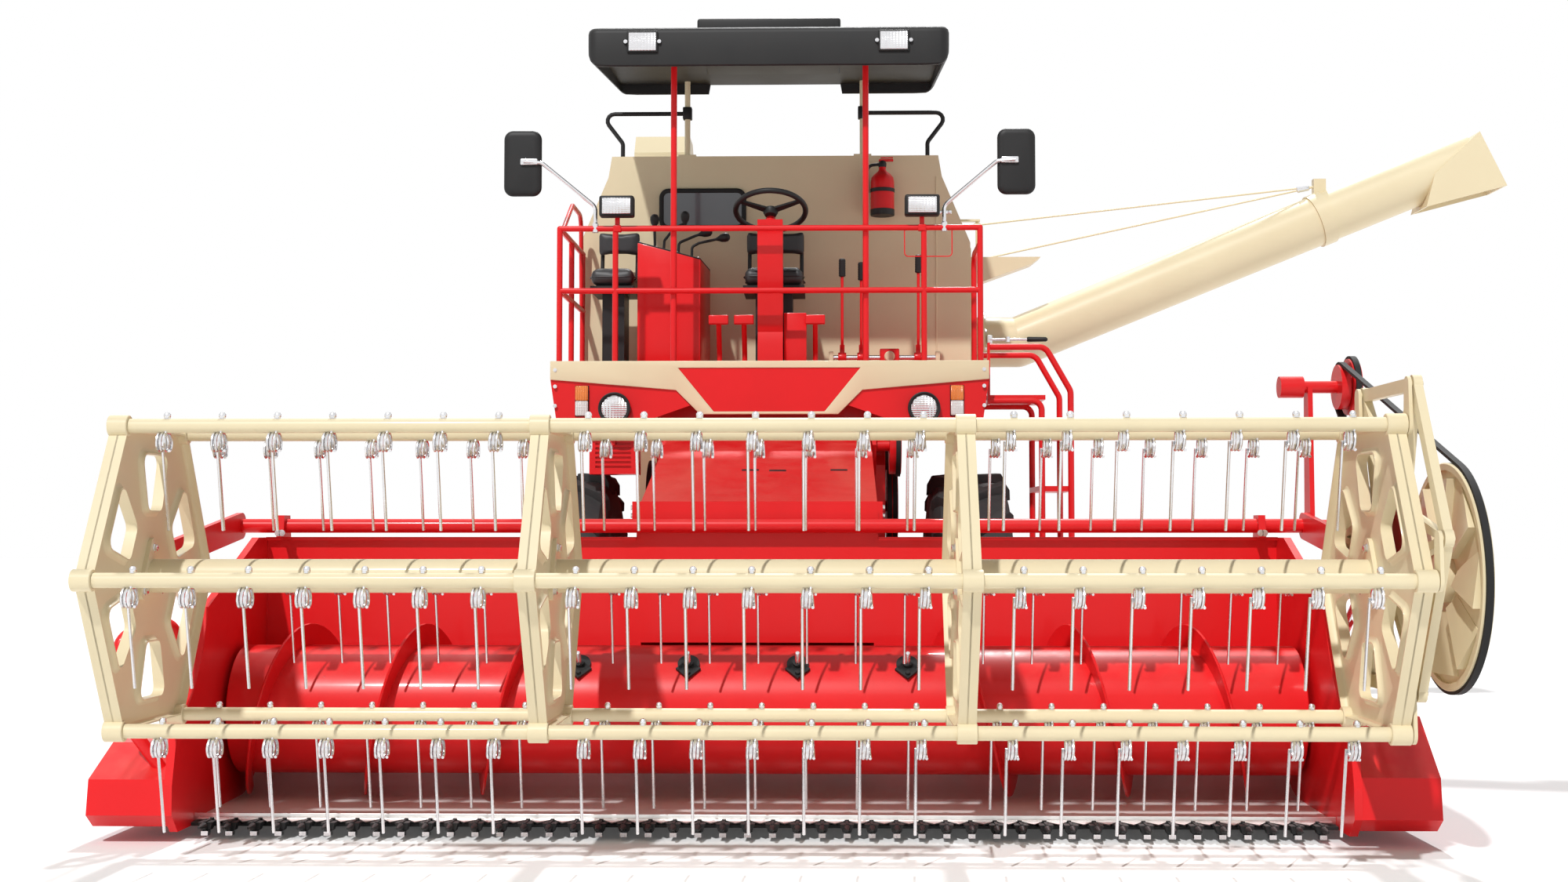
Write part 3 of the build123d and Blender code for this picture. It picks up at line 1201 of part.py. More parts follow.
plate_places = [header_offset + reel_plate_spacing * (step - 1.5) for step in range(4)]
with BuildSketch() as window_gap:
    Trapezoid(window_length, window_width, 62, rotation=-90)
    chamfer(window_gap.vertices(), window_corner)
with BuildSketch() as window_lip:
    add(window_gap.sketch)
    offset(amount=reel_sheet, kind=Kind.INTERSECTION)
    add(window_gap.sketch, mode=Mode.SUBTRACT)
plate_plane = Plane(origin=(0, *reel_axis), x_dir=(0, 1, 0), z_dir=(1, 0, 0))
with BuildPart() as reel_plate:
    with BuildSketch(plate_plane) as web:
        RegularPolygon(reel_radius, 6)
        with PolarLocations(window_middle, 6, start_angle=30):
            add(window_gap.sketch, mode=Mode.SUBTRACT)
    extrude(web.sketch, amount=reel_sheet / 2, both=True)
    with BuildSketch(plate_plane) as folded:
        with PolarLocations(window_middle, 6, start_angle=30):
            add(window_lip.sketch)
    extrude(folded.sketch, amount=window_lip_depth / 2, both=True)
    with BuildSketch(plate_plane) as lip:
        RegularPolygon(reel_radius, 6)
        RegularPolygon(reel_radius - reel_sheet, 6, mode=Mode.SUBTRACT)
    extrude(lip.sketch, amount=reel_plate_depth / 2, both=True)
    with BuildSketch(plate_plane) as collars:
        with PolarLocations(reel_radius, 6):
            Circle(bat_radius + collar_wall)
    extrude(collars.sketch, amount=collar_length / 2, both=True)
    with BuildSketch(plate_plane) as flange:
        RegularPolygon(150, 3, rotation=90)
    extrude(flange.sketch, amount=18, both=True)
    with BuildSketch(plate_plane) as flange_bolts:
        with PolarLocations(96, 3, start_angle=90):
            RegularPolygon(15, 6)
    extrude(flange_bolts.sketch, amount=28, both=True)
    with BuildSketch(plate_plane) as bores:
        with PolarLocations(reel_radius, 6):
            Circle(bat_radius + run_gap)
    extrude(bores.sketch, amount=collar_length, both=True, mode=Mode.SUBTRACT)
with BuildPart() as reel:
    with Locations(*[(x, 0, 0) for x in plate_places]):
        add(reel_plate.part)
    bar((plate_places[0], *reel_axis), (plate_places[3], *reel_axis), reel_tube_radius)
    bar((header_offset - arm_x - arm_thickness - 10, *reel_axis),
        (header_offset + reel_pulley_x + 60, *reel_axis), reel_shaft_radius)
    x = header_offset + reel_pulley_x
    disc(side_plane(x), reel_axis, reel_pulley_radius, 40, reel_pulley_radius - 26)
    disc(side_plane(x + 12), reel_axis, reel_pulley_radius - 20, 10)
    disc(side_plane(x - 20), reel_axis, 90, 60)
    with BuildSketch(Plane(origin=(x, *reel_axis), x_dir=(0, 1, 0), z_dir=(1, 0, 0))) as wedges:
        with PolarLocations(230, 8):
            Trapezoid(150, 150, 72, rotation=90)
    extrude(wedges.sketch, amount=30)
keep(reel, "reel_frame")

# Tine bars: round bats with their spring tines, and the crank that keeps the tines hanging

bat_end = reel_plate_spacing * 1.5 + reel_plate_depth / 2 + 6
coil_drop = bat_radius + tine_coil_radius - 6
with BuildPart() as tine_bar:
    bar((header_offset - bat_end, 0, 0), (header_offset + bat_end, 0, 0), bat_radius)
    for section_step in range(3):
        section_middle = header_offset + reel_plate_spacing * (section_step - 1)
        for step in range(tines_per_section):
            x = section_middle + tine_pitch * (step - (tines_per_section - 1) / 2)
            with BuildSketch(side_plane(x - tine_coil_width / 2)) as coil:
                with Locations((0, -coil_drop)):
                    RegularPolygon(tine_coil_radius, 6)
            extrude(coil.sketch, amount=tine_coil_width)
            beam((x - tine_coil_width / 2 + tine_wire, 10, -coil_drop),
                 (x - tine_coil_width / 2 + tine_wire, tine_rake, -tine_reach),
                 2 * tine_wire, 2 * tine_wire)
    with BuildSketch(side_plane(header_offset + bat_end)) as crank:
        Circle(34)
        with Locations((0, crank_rise)):
            Circle(26)
        make_hull()
    extrude(crank.sketch, amount=crank_thickness)
    bar((header_offset + bat_end + crank_thickness, 0, crank_rise),
        (header_offset + bat_end + crank_thickness + 44, 0, crank_rise), pin_radius)
for step in range(6):
    angle = radians(180 - 60 * step)
    place = Location((0, reel_y + reel_radius * cos(angle), reel_z + reel_radius * sin(angle)))
    with BuildPart() as one_bar:
        add(tine_bar.part.moved(place))
    keep(one_bar, f"tine_bar_{step + 1}")

# Control spider: hexagon with V spokes that turns on the eccentric and leads the crank pins

spider_x = header_offset + bat_end + crank_thickness + 6
spider_plane = Plane(origin=(spider_x, reel_y, reel_z + crank_rise), x_dir=(0, 1, 0), z_dir=(1, 0, 0))
with BuildPart() as spider:
    with BuildSketch(spider_plane) as ring:
        RegularPolygon(reel_radius + 26, 6)
        RegularPolygon(reel_radius - 26, 6, mode=Mode.SUBTRACT)
        with PolarLocations(0, 6):
            with BuildSketch(mode=Mode.PRIVATE) as spoke:
                with BuildLine():
                    Polyline((spider_hub_radius, 60), (spider_hub_radius + 20, 100), (reel_radius - 6, 12),
                             (reel_radius - 6, -12), (spider_hub_radius + 20, -100), (spider_hub_radius, -60),
                             (reel_radius - 70, 0), close=True)
                make_face()
            add(spoke.sketch)
        Circle(spider_hub_radius + 38)
        with PolarLocations(reel_radius, 6):
            Circle(30)
        Circle(spider_hub_radius + run_gap, mode=Mode.SUBTRACT)
        with PolarLocations(reel_radius, 6):
            Circle(pin_radius + run_gap, mode=Mode.SUBTRACT)
    extrude(ring.sketch, amount=spider_thickness)
keep(spider, "tine_control_spider")

# Unloading auger: fixed stub with its hinge, then the swinging tube, its spout and stays

lug_radius = 26
with BuildPart() as stub:
    bar((tank_half, unloader_y, unloader_z), (unloader_hinge_x - 12, unloader_y, unloader_z), unloader_radius)
    bar((unloader_hinge_x - 12, unloader_y, unloader_z), (unloader_hinge_x - 2, unloader_y, unloader_z),
        flange_radius)
    for z in (unloader_z - 90, unloader_z + 60):
        block((unloader_hinge_x - 40, unloader_y + 60, z), (unloader_hinge_x - 2, hinge_y, z + 30))
        bar((hinge_x, hinge_y, z), (hinge_x, hinge_y, z + 30), lug_radius + 2)
    bar((hinge_x, hinge_y, unloader_z - 110), (hinge_x, hinge_y, unloader_z + 110), hinge_pin_radius)
keep(stub, "unloader_stub")

spout_half = 150
spout_wall = 8
tip_x = unloader_elbow_x + unloader_length * cos(radians(unloader_rise))
tip_z = unloader_z + unloader_length * sin(radians(unloader_rise))
with BuildPart() as unloader:
    bar((unloader_hinge_x + 2, unloader_y, unloader_z), (unloader_hinge_x + 12, unloader_y, unloader_z),
        flange_radius)
    block((unloader_hinge_x + 2, unloader_y + flange_radius - 60, unloader_z - 55),
          (unloader_hinge_x + 12, hinge_y + 10, unloader_z + 55))
    bar((hinge_x, hinge_y, unloader_z - 60 + run_gap), (hinge_x, hinge_y, unloader_z + 60 - run_gap),
        lug_radius)
    bar((hinge_x, hinge_y, unloader_z - 61), (hinge_x, hinge_y, unloader_z + 61), hinge_pin_radius + run_gap,
        Mode.SUBTRACT)
    bar((unloader_hinge_x + 2, unloader_y, unloader_z), (unloader_elbow_x, unloader_y, unloader_z),
        unloader_radius)
    bar((unloader_elbow_x, unloader_y, unloader_z), (tip_x, unloader_y, tip_z), unloader_radius)
    with Locations((unloader_elbow_x, unloader_y, unloader_z)):
        Sphere(unloader_radius)
    slab([(tip_x + 6, tip_z + 130), (tip_x + 157, tip_z - 184), (tip_x - 303, tip_z - 304),
          (tip_x - 253, tip_z - 114)],
         front_plane(unloader_y + spout_half), 2 * spout_half)
    slab([(tip_x - 2, tip_z + 100), (tip_x + 150, tip_z - 210), (tip_x - 296, tip_z - 326),
          (tip_x - 238, tip_z - 124)],
         front_plane(unloader_y + spout_half - spout_wall), 2 * (spout_half - spout_wall), Mode.SUBTRACT)
    along = Vector(cos(radians(unloader_rise)), 0, sin(radians(unloader_rise)))
    clamp = Vector(unloader_elbow_x, unloader_y, unloader_z) + along * clamp_along
    bar(tuple(clamp - along * 40), tuple(clamp + along * 40), unloader_radius + 10)
    lug_top = clamp.Z + unloader_radius + 90
    block((clamp.X - 40, unloader_y - 25, clamp.Z + unloader_radius - 20),
          (clamp.X + 30, unloader_y + 25, lug_top))
    for z in stay_heights:
        bar((hinge_x, hinge_y, z), (clamp.X - 10, unloader_y, lug_top - 40), stay_radius)
        bar((hinge_x, hinge_y, z - 9), (hinge_x, hinge_y, z + 9), 2 * stay_pin_radius)
        bar((hinge_x, hinge_y, z - 12), (hinge_x, hinge_y, z + 12), stay_pin_radius + run_gap, Mode.SUBTRACT)
keep(unloader, "unloader_tube")

# Move every piece so that the origin is under the middle of the machine, and write it

low = Vector(*[min(getattr(piece.bounding_box().min, axis) for piece in pieces) for axis in "XYZ"])
high = Vector(*[max(getattr(piece.bounding_box().max, axis) for piece in pieces) for axis in "XYZ"])
origin = Location((-(low.X + high.X) / 2, -(low.Y + high.Y) / 2, -low.Z))
for piece in pieces:
    moved = piece.moved(origin)
    moved.label = piece.label
    export_step(moved, f"parts/{piece.label}.step")
print("size", round(high.X - low.X), round(high.Y - low.Y), round(high.Z - low.Z), "mm in", len(pieces),
      "pieces")
print("origin moved by", *[round(value, 3) for value in tuple(origin.position)])
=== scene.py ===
# %% [markdown]
# # A combine harvester, dressed for a studio picture
#
# The frame comes first. It holds every rigid piece of the machine at its true
# size and place, so this lesson only has to give each piece its finish and add
# the small things that a solid model leaves plain.

# %% Load the frame and find the machine's own middle
import math
import bmesh
import bpy
from mathutils import Matrix, Vector


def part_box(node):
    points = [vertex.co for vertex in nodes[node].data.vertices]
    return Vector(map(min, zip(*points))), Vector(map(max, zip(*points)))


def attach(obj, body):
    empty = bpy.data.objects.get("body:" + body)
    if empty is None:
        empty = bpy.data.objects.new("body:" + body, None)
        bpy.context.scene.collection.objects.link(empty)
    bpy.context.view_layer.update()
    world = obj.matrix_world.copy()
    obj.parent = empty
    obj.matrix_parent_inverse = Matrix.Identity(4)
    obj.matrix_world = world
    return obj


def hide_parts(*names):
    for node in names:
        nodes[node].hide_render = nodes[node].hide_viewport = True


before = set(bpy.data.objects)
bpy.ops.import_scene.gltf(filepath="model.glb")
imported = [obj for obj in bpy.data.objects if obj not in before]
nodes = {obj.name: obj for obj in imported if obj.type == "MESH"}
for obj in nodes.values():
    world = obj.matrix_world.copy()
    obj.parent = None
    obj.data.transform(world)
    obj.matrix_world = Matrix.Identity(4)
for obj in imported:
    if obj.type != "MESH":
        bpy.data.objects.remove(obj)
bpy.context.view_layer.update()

# The front axle's middle, on the ground, is where the machine was measured from:
# X to its left, Y to its rear, Z up, in metres.
rims = [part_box("front_rim_left"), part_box("front_rim_right")]
shift = Vector(((rims[0][1][0] + rims[1][0][0]) / 2, (rims[0][0][1] + rims[0][1][1]) / 2, 0))


def at(x, y, z):
    """A place on the machine, measured from under its front axle's middle."""
    return Vector((x, y, z)) + shift


header_x = 0.05
header_mid = at(header_x, 0, 0).x
print("nodes", len(nodes), "front axle at", tuple(round(v, 4) for v in shift))

# %% [markdown]
# ## The studio
#
# A white room: one large pale floor that runs into a white sky, so that no
# horizon shows. The camera is low and in front, where a person stands who looks
# at the header. Its lens and turn were solved from the straight edges in the
# photograph. One sun in front gives the shape, one behind throws the shadows
# forwards, and the white world fills them a little.

# %% Camera, floor and lights
studio = bpy.context.scene
studio.view_settings.view_transform = "Standard"


def shown(name, data):
    """A new object in the scene, at the origin."""
    thing = bpy.data.objects.new(name, data)
    studio.collection.objects.link(thing)
    return thing


camera_data = bpy.data.cameras.new("front_camera")
camera_data.lens, camera_data.sensor_width = 43.45, 36
camera = shown("front_camera", camera_data)
camera.location = at(0.314, -10.24, 1.17)
camera.rotation_euler = (math.radians(90 + 2.64), 0, math.radians(1.40))
studio.camera = camera

reach = 60
floor_mesh = bpy.data.meshes.new("studio_floor")
floor_mesh.from_pydata([(-reach, -reach, 0), (reach, -reach, 0), (reach, reach, 0), (-reach, reach, 0)],
                       [], [(0, 1, 2, 3)])
shown("studio_floor", floor_mesh)

studio.world = bpy.data.worlds.new("white_room")
studio.world.use_nodes = True
sky = studio.world.node_tree
sky.nodes.clear()


def white_light(strength):
    """A white background of one strength."""
    light = sky.nodes.new("ShaderNodeBackground")
    light.inputs["Color"].default_value = (1, 1, 1, 1)
    light.inputs["Strength"].default_value = strength
    return light.outputs[0]


def either(first, second):
    """1 where one of two sockets is 1."""
    most = sky.nodes.new("ShaderNodeMath")
    most.operation = "MAXIMUM"
    sky.links.new(first, most.inputs[0])
    sky.links.new(second, most.inputs[1])
    return most.outputs[0]


# The camera, glass and metal see a plain white; everything else gets a quarter of it.
ray = sky.nodes.new("ShaderNodeLightPath").outputs
seen = either(either(ray["Is Camera Ray"], ray["Is Transmission Ray"]), ray["Is Glossy Ray"])
pick = sky.nodes.new("ShaderNodeMixShader")
for socket, source in zip(pick.inputs, (seen, white_light(0.25), white_light(1))):
    sky.links.new(source, socket)
sky.links.new(pick.outputs[0], sky.nodes.new("ShaderNodeOutputWorld").inputs[0])


def sun(name, strength, spread, aim):
    """A sun lamp that shines from the given direction towards the machine."""
    data = bpy.data.lights.new(name, "SUN")
    data.energy, data.angle = strength, math.radians(spread)
    shown(name, data).rotation_euler = Vector(aim).to_track_quat("Z", "Y").to_euler()


sun("key_sun", 2.5, 1.5, (-0.30, -0.95, 1.05))
sun("back_sun", 2.2, 2.5, (0.05, 0.72, 1.0))
print("camera", tuple(round(v, 3) for v in camera.location))

# %% [markdown]
# ## Shader sums in plain Python
#
# Every finish below is a small sum of noises and masks. A class that wraps one
# socket and knows +, *, > and < keeps such a sum readable: each operator adds
# its Math node. One more method adds any other kind of node.

# %% A socket that can be reckoned with, and a finish under construction


class Amount:
    """One socket's value. Sums on it add Math nodes to its material."""

    def __init__(self, finish, socket):
        self.finish = finish
        self.socket = socket

    def math(self, operation, first, second):
        return self.finish.node("ShaderNodeMath", {"operation": operation}, {0: first, 1: second}).out(0)

    def __add__(self, other):
        return self.math("ADD", self, other)

    def __radd__(self, other):
        return self.math("ADD", other, self)

    def __mul__(self, other):
        return self.math("MULTIPLY", self, other)

    def __rmul__(self, other):
        return self.math("MULTIPLY", other, self)

    def __gt__(self, other):
        return self.math("GREATER_THAN", self, other)

    def __lt__(self, other):
        return self.math("LESS_THAN", self, other)


class Node:
    """A node of a finish, asked for its outputs by name or number."""

    def __init__(self, finish, node):
        self.finish = finish
        self.node = node

    def out(self, name):
        return Amount(self.finish, self.node.outputs[name])


class Finish:
    """A material under construction around one Principled shader."""

    names = {"colour": "Base Color", "rough": "Roughness", "metal": "Metallic", "coat": "Coat Weight",
             "coat_rough": "Coat Roughness", "gloss": "Specular IOR Level"}

    def __init__(self, name):
        self.material = bpy.data.materials.new(name)
        self.material.use_nodes = True
        self.tree = self.material.node_tree
        self.tree.nodes.clear()
        self.shader = self.tree.nodes.new("ShaderNodeBsdfPrincipled")
        self.done = self.tree.nodes.new("ShaderNodeOutputMaterial").inputs[0]
        self.tree.links.new(self.shader.outputs[0], self.done)
        self.place = self.node("ShaderNodeTexCoord").out("Object")

    def plug(self, socket, value):
        if isinstance(value, Amount):
            self.tree.links.new(value.socket, socket)
        else:
            socket.default_value = value

    def node(self, kind, settings=(), sockets=()):
        """Any node: its settings are set first, then its sockets' values or links."""
        new = self.tree.nodes.new(kind)
        for key, value in dict(settings).items():
            setattr(new, key, value)
        for key, value in dict(sockets).items():
            self.plug(new.inputs[key], value)
        return Node(self, new)

    def noise(self, scale, detail=3, rough=0.5):
        """Noise about 0 to 1, its grain one over scale metres across."""
        return self.node("ShaderNodeTexNoise", {}, {"Vector": self.place, "Scale": scale, "Detail": detail,
                                                    "Roughness": rough}).out("Fac")

    def step(self, value, low, high):
        """0 below low, 1 above high, straight between."""
        return self.node("ShaderNodeMapRange", {"clamp": True}, {"Value": value, "From Min": low,
                                                                 "From Max": high}).out("Result")

    def mix(self, share, first, second):
        """Two colours mixed by a share from 0 to 1."""
        sockets = {"Factor": share, 6: first, 7: second}
        return self.node("ShaderNodeMix", {"data_type": "RGBA"}, sockets).out(2)

    def axes(self):
        """The place's X, Y and Z."""
        split = self.node("ShaderNodeSeparateXYZ", {}, {0: self.place})
        return split.out(0), split.out(1), split.out(2)

    def up(self):
        """How far a face looks up, from -1 to 1."""
        way = self.node("ShaderNodeNewGeometry").out("Normal")
        return self.node("ShaderNodeSeparateXYZ", {}, {0: way}).out(2)

    def bump(self, height, depth_m, strength):
        """Raise the surface by the height, in metres at 1."""
        sockets = {"Height": height, "Distance": depth_m, "Strength": strength}
        self.plug(self.shader.inputs["Normal"], self.node("ShaderNodeBump", {}, sockets).out(0))

    def set(self, **values):
        """Set the shader's own sockets: colour, roughness, metal and so on."""
        for key, value in values.items():
            self.plug(self.shader.inputs[self.names[key]], value)


def rgb(red, green, blue):
    """A colour as a shader's socket takes it."""
    return (red, green, blue, 1.0)


def grey(shade):
    """A neutral colour."""
    return rgb(shade, shade, shade)


print("shader helpers ready")

# %% [markdown]
# ## Paint
#
# The machine wears two enamels: a warm red and a pale cream. New enamel is not
# flat: its gloss wanders a little, it has a faint orange-peel, and a thin film
# of field dust lies on what looks up. All three come from noises on the place.

# %% Red and cream enamel, also two in one finish
chaff = rgb(0.50, 0.42, 0.30)


def dusted(paint, body, cloud, dust):
    """A paint's colour under the dust on what looks up, and where that dust lies."""
    lying = paint.step(paint.up(), 0.35, 0.95) * paint.step(cloud, 0.35, 0.75) * dust
    return paint.mix(lying, body, chaff), lying


def enamel(name, colour, deep, rough=0.3, dust=0.10):
    """Sprayed enamel over steel, its colour wandering towards a deeper one."""
    paint = Finish(name)
    wander = paint.noise(1.7, 4, 0.6)
    cloud = paint.noise(9, 5, 0.6)
    peel = paint.noise(260, 2, 0.5)
    body = paint.mix(paint.step(wander, 0.3, 0.75) * 0.55, colour, deep)
    body, lying = dusted(paint, body, cloud, dust)
    paint.set(colour=body, rough=rough + cloud * 0.10 + lying * 1.6, coat=0.12, coat_rough=0.10, gloss=0.25)
    paint.bump(peel * 0.6 + cloud * 0.4, 0.0004, 0.35)
    return paint


def two_tone(name, mask_of, first, second):
    """One enamel in two colours, divided where mask_of(finish) turns from 0 to 1."""
    paint = Finish(name)
    mask = mask_of(paint)
    cloud = paint.noise(9, 5, 0.6)
    peel = paint.noise(260, 2, 0.5)
    body, _ = dusted(paint, paint.mix(mask, first, second), cloud, 0.1)
    paint.set(colour=body, rough=0.3 + cloud * 0.10, coat=0.12, coat_rough=0.10, gloss=0.25)
    paint.bump(peel, 0.0004, 0.3)
    return paint


red_tone, cream_tone, pan_tone = rgb(0.76, 0.012, 0.016), rgb(0.79, 0.69, 0.46), rgb(0.86, 0.84, 0.82)
post_edge, pan_edge = at(0, 0, 0).y, 0.30
red = enamel("red_enamel", rgb(0.78, 0.012, 0.016), rgb(0.62, 0.010, 0.012))
cream = enamel("cream_enamel", rgb(0.80, 0.70, 0.47), rgb(0.72, 0.61, 0.40), 0.34)
post_paint = two_tone("post_paint", lambda finish: finish.axes()[1] > post_edge, red_tone, cream_tone)
print("paints", red.material.name, cream.material.name, post_paint.material.name)

# %% [markdown]
# ## Steel, rubber, plastic and glass
#
# Bare steel has fine streaks. Bought parts are plated. Rubber is dark and dull
# with dust in its tread, and the black plastics have a fine grain.

# %% Metals and blacks


def bare_metal(name, colour, rough, streak=(60, 1, 60), depth=0.0003):
    """Bare steel with streaks that run one way."""
    metal = Finish(name)
    lay = metal.node("ShaderNodeMapping", {}, {"Vector": metal.place, "Scale": streak}).out(0)
    grain = metal.node("ShaderNodeTexNoise", {}, {"Vector": lay, "Scale": 4, "Detail": 5}).out("Fac")
    cloud = metal.noise(6, 4)
    shade = metal.mix(metal.step(cloud, 0.3, 0.8), rgb(*colour), rgb(*[part * 0.8 for part in colour]))
    metal.set(colour=shade, metal=1.0, rough=rough + grain * 0.18)
    metal.bump(grain, depth, 0.4)
    return metal


worn_steel = bare_metal("crop_worn_steel", (0.86, 0.84, 0.82), 0.26)
plated = bare_metal("zinc_plate", (0.80, 0.80, 0.82), 0.16, (40, 40, 40), 0.0001)
# Blackened steel for the cutter bar, and also the painted shade inside the feeder's vent slots.
dark_steel_and_slot_shade = bare_metal("blackened_steel", (0.05, 0.05, 0.052), 0.42, (60, 60, 60))
cast_grey = enamel("engine_grey", rgb(0.13, 0.13, 0.135), rgb(0.09, 0.09, 0.095), 0.5, 0.25)


def tyre_rubber():
    """Tyre rubber with dusty clouds."""
    rubber = Finish("tyre_rubber")
    cloud = rubber.noise(14, 5, 0.65)
    grain = rubber.noise(220, 3, 0.6)
    fresh, dusty = rgb(0.016, 0.016, 0.017), rgb(0.055, 0.051, 0.046)
    tone = rubber.mix(rubber.step(cloud, 0.35, 0.8) * 0.5, fresh, dusty)
    rubber.set(colour=tone, rough=0.62 + cloud * 0.25)
    rubber.bump(grain * 0.5 + cloud * 0.5, 0.0015, 0.5)
    return rubber


def black_stuff(name, shade, rough, grain_scale, depth):
    """Moulded black plastic or rubber with its grain."""
    stuff = Finish(name)
    grain = stuff.noise(grain_scale, 2)
    cloud = stuff.noise(5, 4)
    tone = stuff.mix(stuff.step(cloud, 0.3, 0.8) * 0.5, rgb(shade, shade, shade * 1.05),
                     rgb(shade * 1.9, shade * 1.8, shade * 1.7))
    stuff.set(colour=tone, rough=rough + cloud * 0.12, gloss=0.28)
    stuff.bump(grain, depth, 0.5)
    return stuff


tyre = tyre_rubber()
black_plastic = black_stuff("grained_plastic", 0.013, 0.42, 700, 0.0004)
belt_rubber = black_stuff("belt_rubber", 0.012, 0.6, 300, 0.0006)
canopy_black = black_stuff("canopy_coating", 0.013, 0.45, 450, 0.0005)

smoked = Finish("smoked_glass")
haze = smoked.noise(4, 4)
smoke = smoked.mix(haze * 0.3, rgb(0.10, 0.115, 0.13), rgb(0.20, 0.22, 0.24))
smoked.set(colour=smoke, rough=0.08 + haze * 0.08, coat=0.5)
print("finishes", len(bpy.data.materials))

# %% [markdown]
# ## Who wears what
#
# Each CAD node keeps its own mesh and only gets a finish. Pieces that one node
# holds in two colours have a finish that changes with the place.

# %% Give every node its finish
pan_paint = two_tone("pan_paint", lambda finish: finish.axes()[2] < pan_edge, red_tone, pan_tone)
wear = (
    (red, "front_axle rear_axle steering_knuckle threshing_body straw_hood chassis cleaning_shoe "
          "engine_housing operator_platform guard_rails control_console ladder feeder_house header_frame "
          "auger reel_arms fire_extinguisher drive_pulleys lift_barrels reel_lift_barrels"),
    (cream, "front_rim rear_rim grain_tank grain_elevator fascia_band reel_frame tine_bar tine_control "
            "unloader straw_walkers"),
    (tyre, "front_tyre rear_tyre"),
    (black_plastic, "mirrors steering_wheel seat_frames seat_cushions lamps"),
    (canopy_black, "canopy"),
    (post_paint, "canopy_posts"),
    (belt_rubber, "drive_belts reel_belts"),
    (worn_steel, "rotary_screen"),
    (dark_steel_and_slot_shade, "cutter_bar"),
    (plated, "lift_rods reel_lift_rods"),
    (smoked, "tank_window"),
    (cast_grey, "engine"),
    (pan_paint, "header_pan"),
)


def wearer(node):
    """The finish whose list holds the longest start of this node's name."""
    fits = [(len(start), finish) for finish, starts in wear for start in starts.split()
            if node.startswith(start)]
    return max(fits, key=lambda fit: fit[0])[1]


for name, thing in nodes.items():
    finish = wearer(name)
    for place in thing.material_slots:
        place.link = "OBJECT"
        place.material = finish.material
print("dressed", len(nodes), "nodes")


# %% The floor's own finish
floor_finish = Finish("white_floor")
floor_finish.set(colour=grey(0.86), rough=0.9, gloss=0.0)
matt = Amount(floor_finish, floor_finish.shader.outputs[0])
glow = floor_finish.node("ShaderNodeEmission", {}, {"Strength": 0.05}).out(0)
lit = floor_finish.node("ShaderNodeAddShader", {}, {0: matt, 1: glow}).out(0)
eye = floor_finish.node("ShaderNodeLightPath").out("Is Camera Ray")
floor_look = floor_finish.node("ShaderNodeMixShader", {}, {0: eye, 1: matt, 2: lit}).out(0)
floor_finish.plug(floor_finish.done, floor_look)
floor_mesh.materials.append(floor_finish.material)

# %% [markdown]
# ## Small tools for shapes
#
# The pieces that follow are bent tubes, turned parts, rounded blocks and flat
# plates. Each helper adds one such shape to an open mesh, at places measured on
# the machine, so one piece can gather as many of them as it needs.

# %% Shapes that an open mesh can gather
x_way, z_way = Vector((1, 0, 0)), Vector((0, 0, 1))


def full_turn(count, start=0.0):
    """Equal steps round a circle, in radians."""
    return [math.tau * (step + start) / count for step in range(count)]


def circle(middle, first, second, radius, sides):
    """Points round a middle, in the plane of two directions."""
    return [middle + (first * math.cos(turn) + second * math.sin(turn)) * radius for turn in full_turn(sides)]


def frame_round(along):
    """Two directions square to a line and to each other."""
    along = Vector(along).normalized()
    first = z_way if abs(along.x) > 0.9 else along.orthogonal().normalized()
    first = (first - along * first.dot(along)).normalized()
    return first, along.cross(first)


def skin(mesh, loops, closed=False):
    """Join loops of equally many points into a skin, with a cap at each end."""
    rows = [[mesh.verts.new(point) for point in loop] for loop in loops]
    pairs = list(zip(rows, rows[1:])) + ([(rows[-1], rows[0])] if closed else [])
    for low, high in pairs:
        for step in range(len(low)):
            after = (step + 1) % len(low)
            mesh.faces.new((low[step], low[after], high[after], high[step]))
    if not closed:
        mesh.faces.new(rows[0][::-1])
        mesh.faces.new(rows[-1])


def turned(mesh, middle, along, outline, sides=32, closed=False):
    """A turned part: (place along the axis, radius) pairs spun round it, or a ring if it is closed."""
    first, second = frame_round(along)
    along = Vector(along).normalized()
    middle = Vector(middle)
    loops = [circle(middle + along * spot, first, second, radius, sides) for spot, radius in outline]
    skin(mesh, loops, closed)


def rounded_run(points, bend, steps=5):
    """A run of points with an arc of the given radius at each inner corner."""
    points = [Vector(point) for point in points]
    run = [points[0]]
    for before, corner, after in zip(points, points[1:], points[2:]):
        back, ahead = (before - corner).normalized(), (after - corner).normalized()
        half = back.angle(ahead) / 2
        reach = min(bend / math.tan(half), (before - corner).length / 2, (after - corner).length / 2)
        hub = corner + (back + ahead).normalized() * reach / math.cos(half)
        start, end = corner + back * reach - hub, corner + ahead * reach - hub
        run += [hub + start.slerp(end, step / steps) * start.length for step in range(steps + 1)]
    return run + [points[-1]]


def tube(mesh, points, radius, bend=0.0, sides=12):
    """A round tube along a run of points, bent at each inner one."""
    run = rounded_run(points, bend) if bend and len(points) > 2 else [Vector(point) for point in points]
    first, _ = frame_round(run[1] - run[0])
    loops = []
    for step, point in enumerate(run):
        ahead = run[min(step + 1, len(run) - 1)] - run[max(step - 1, 0)]
        ahead.normalize()
        first = (first - ahead * first.dot(ahead)).normalized()
        loops.append(circle(point, first, ahead.cross(first), radius, sides))
    skin(mesh, loops)


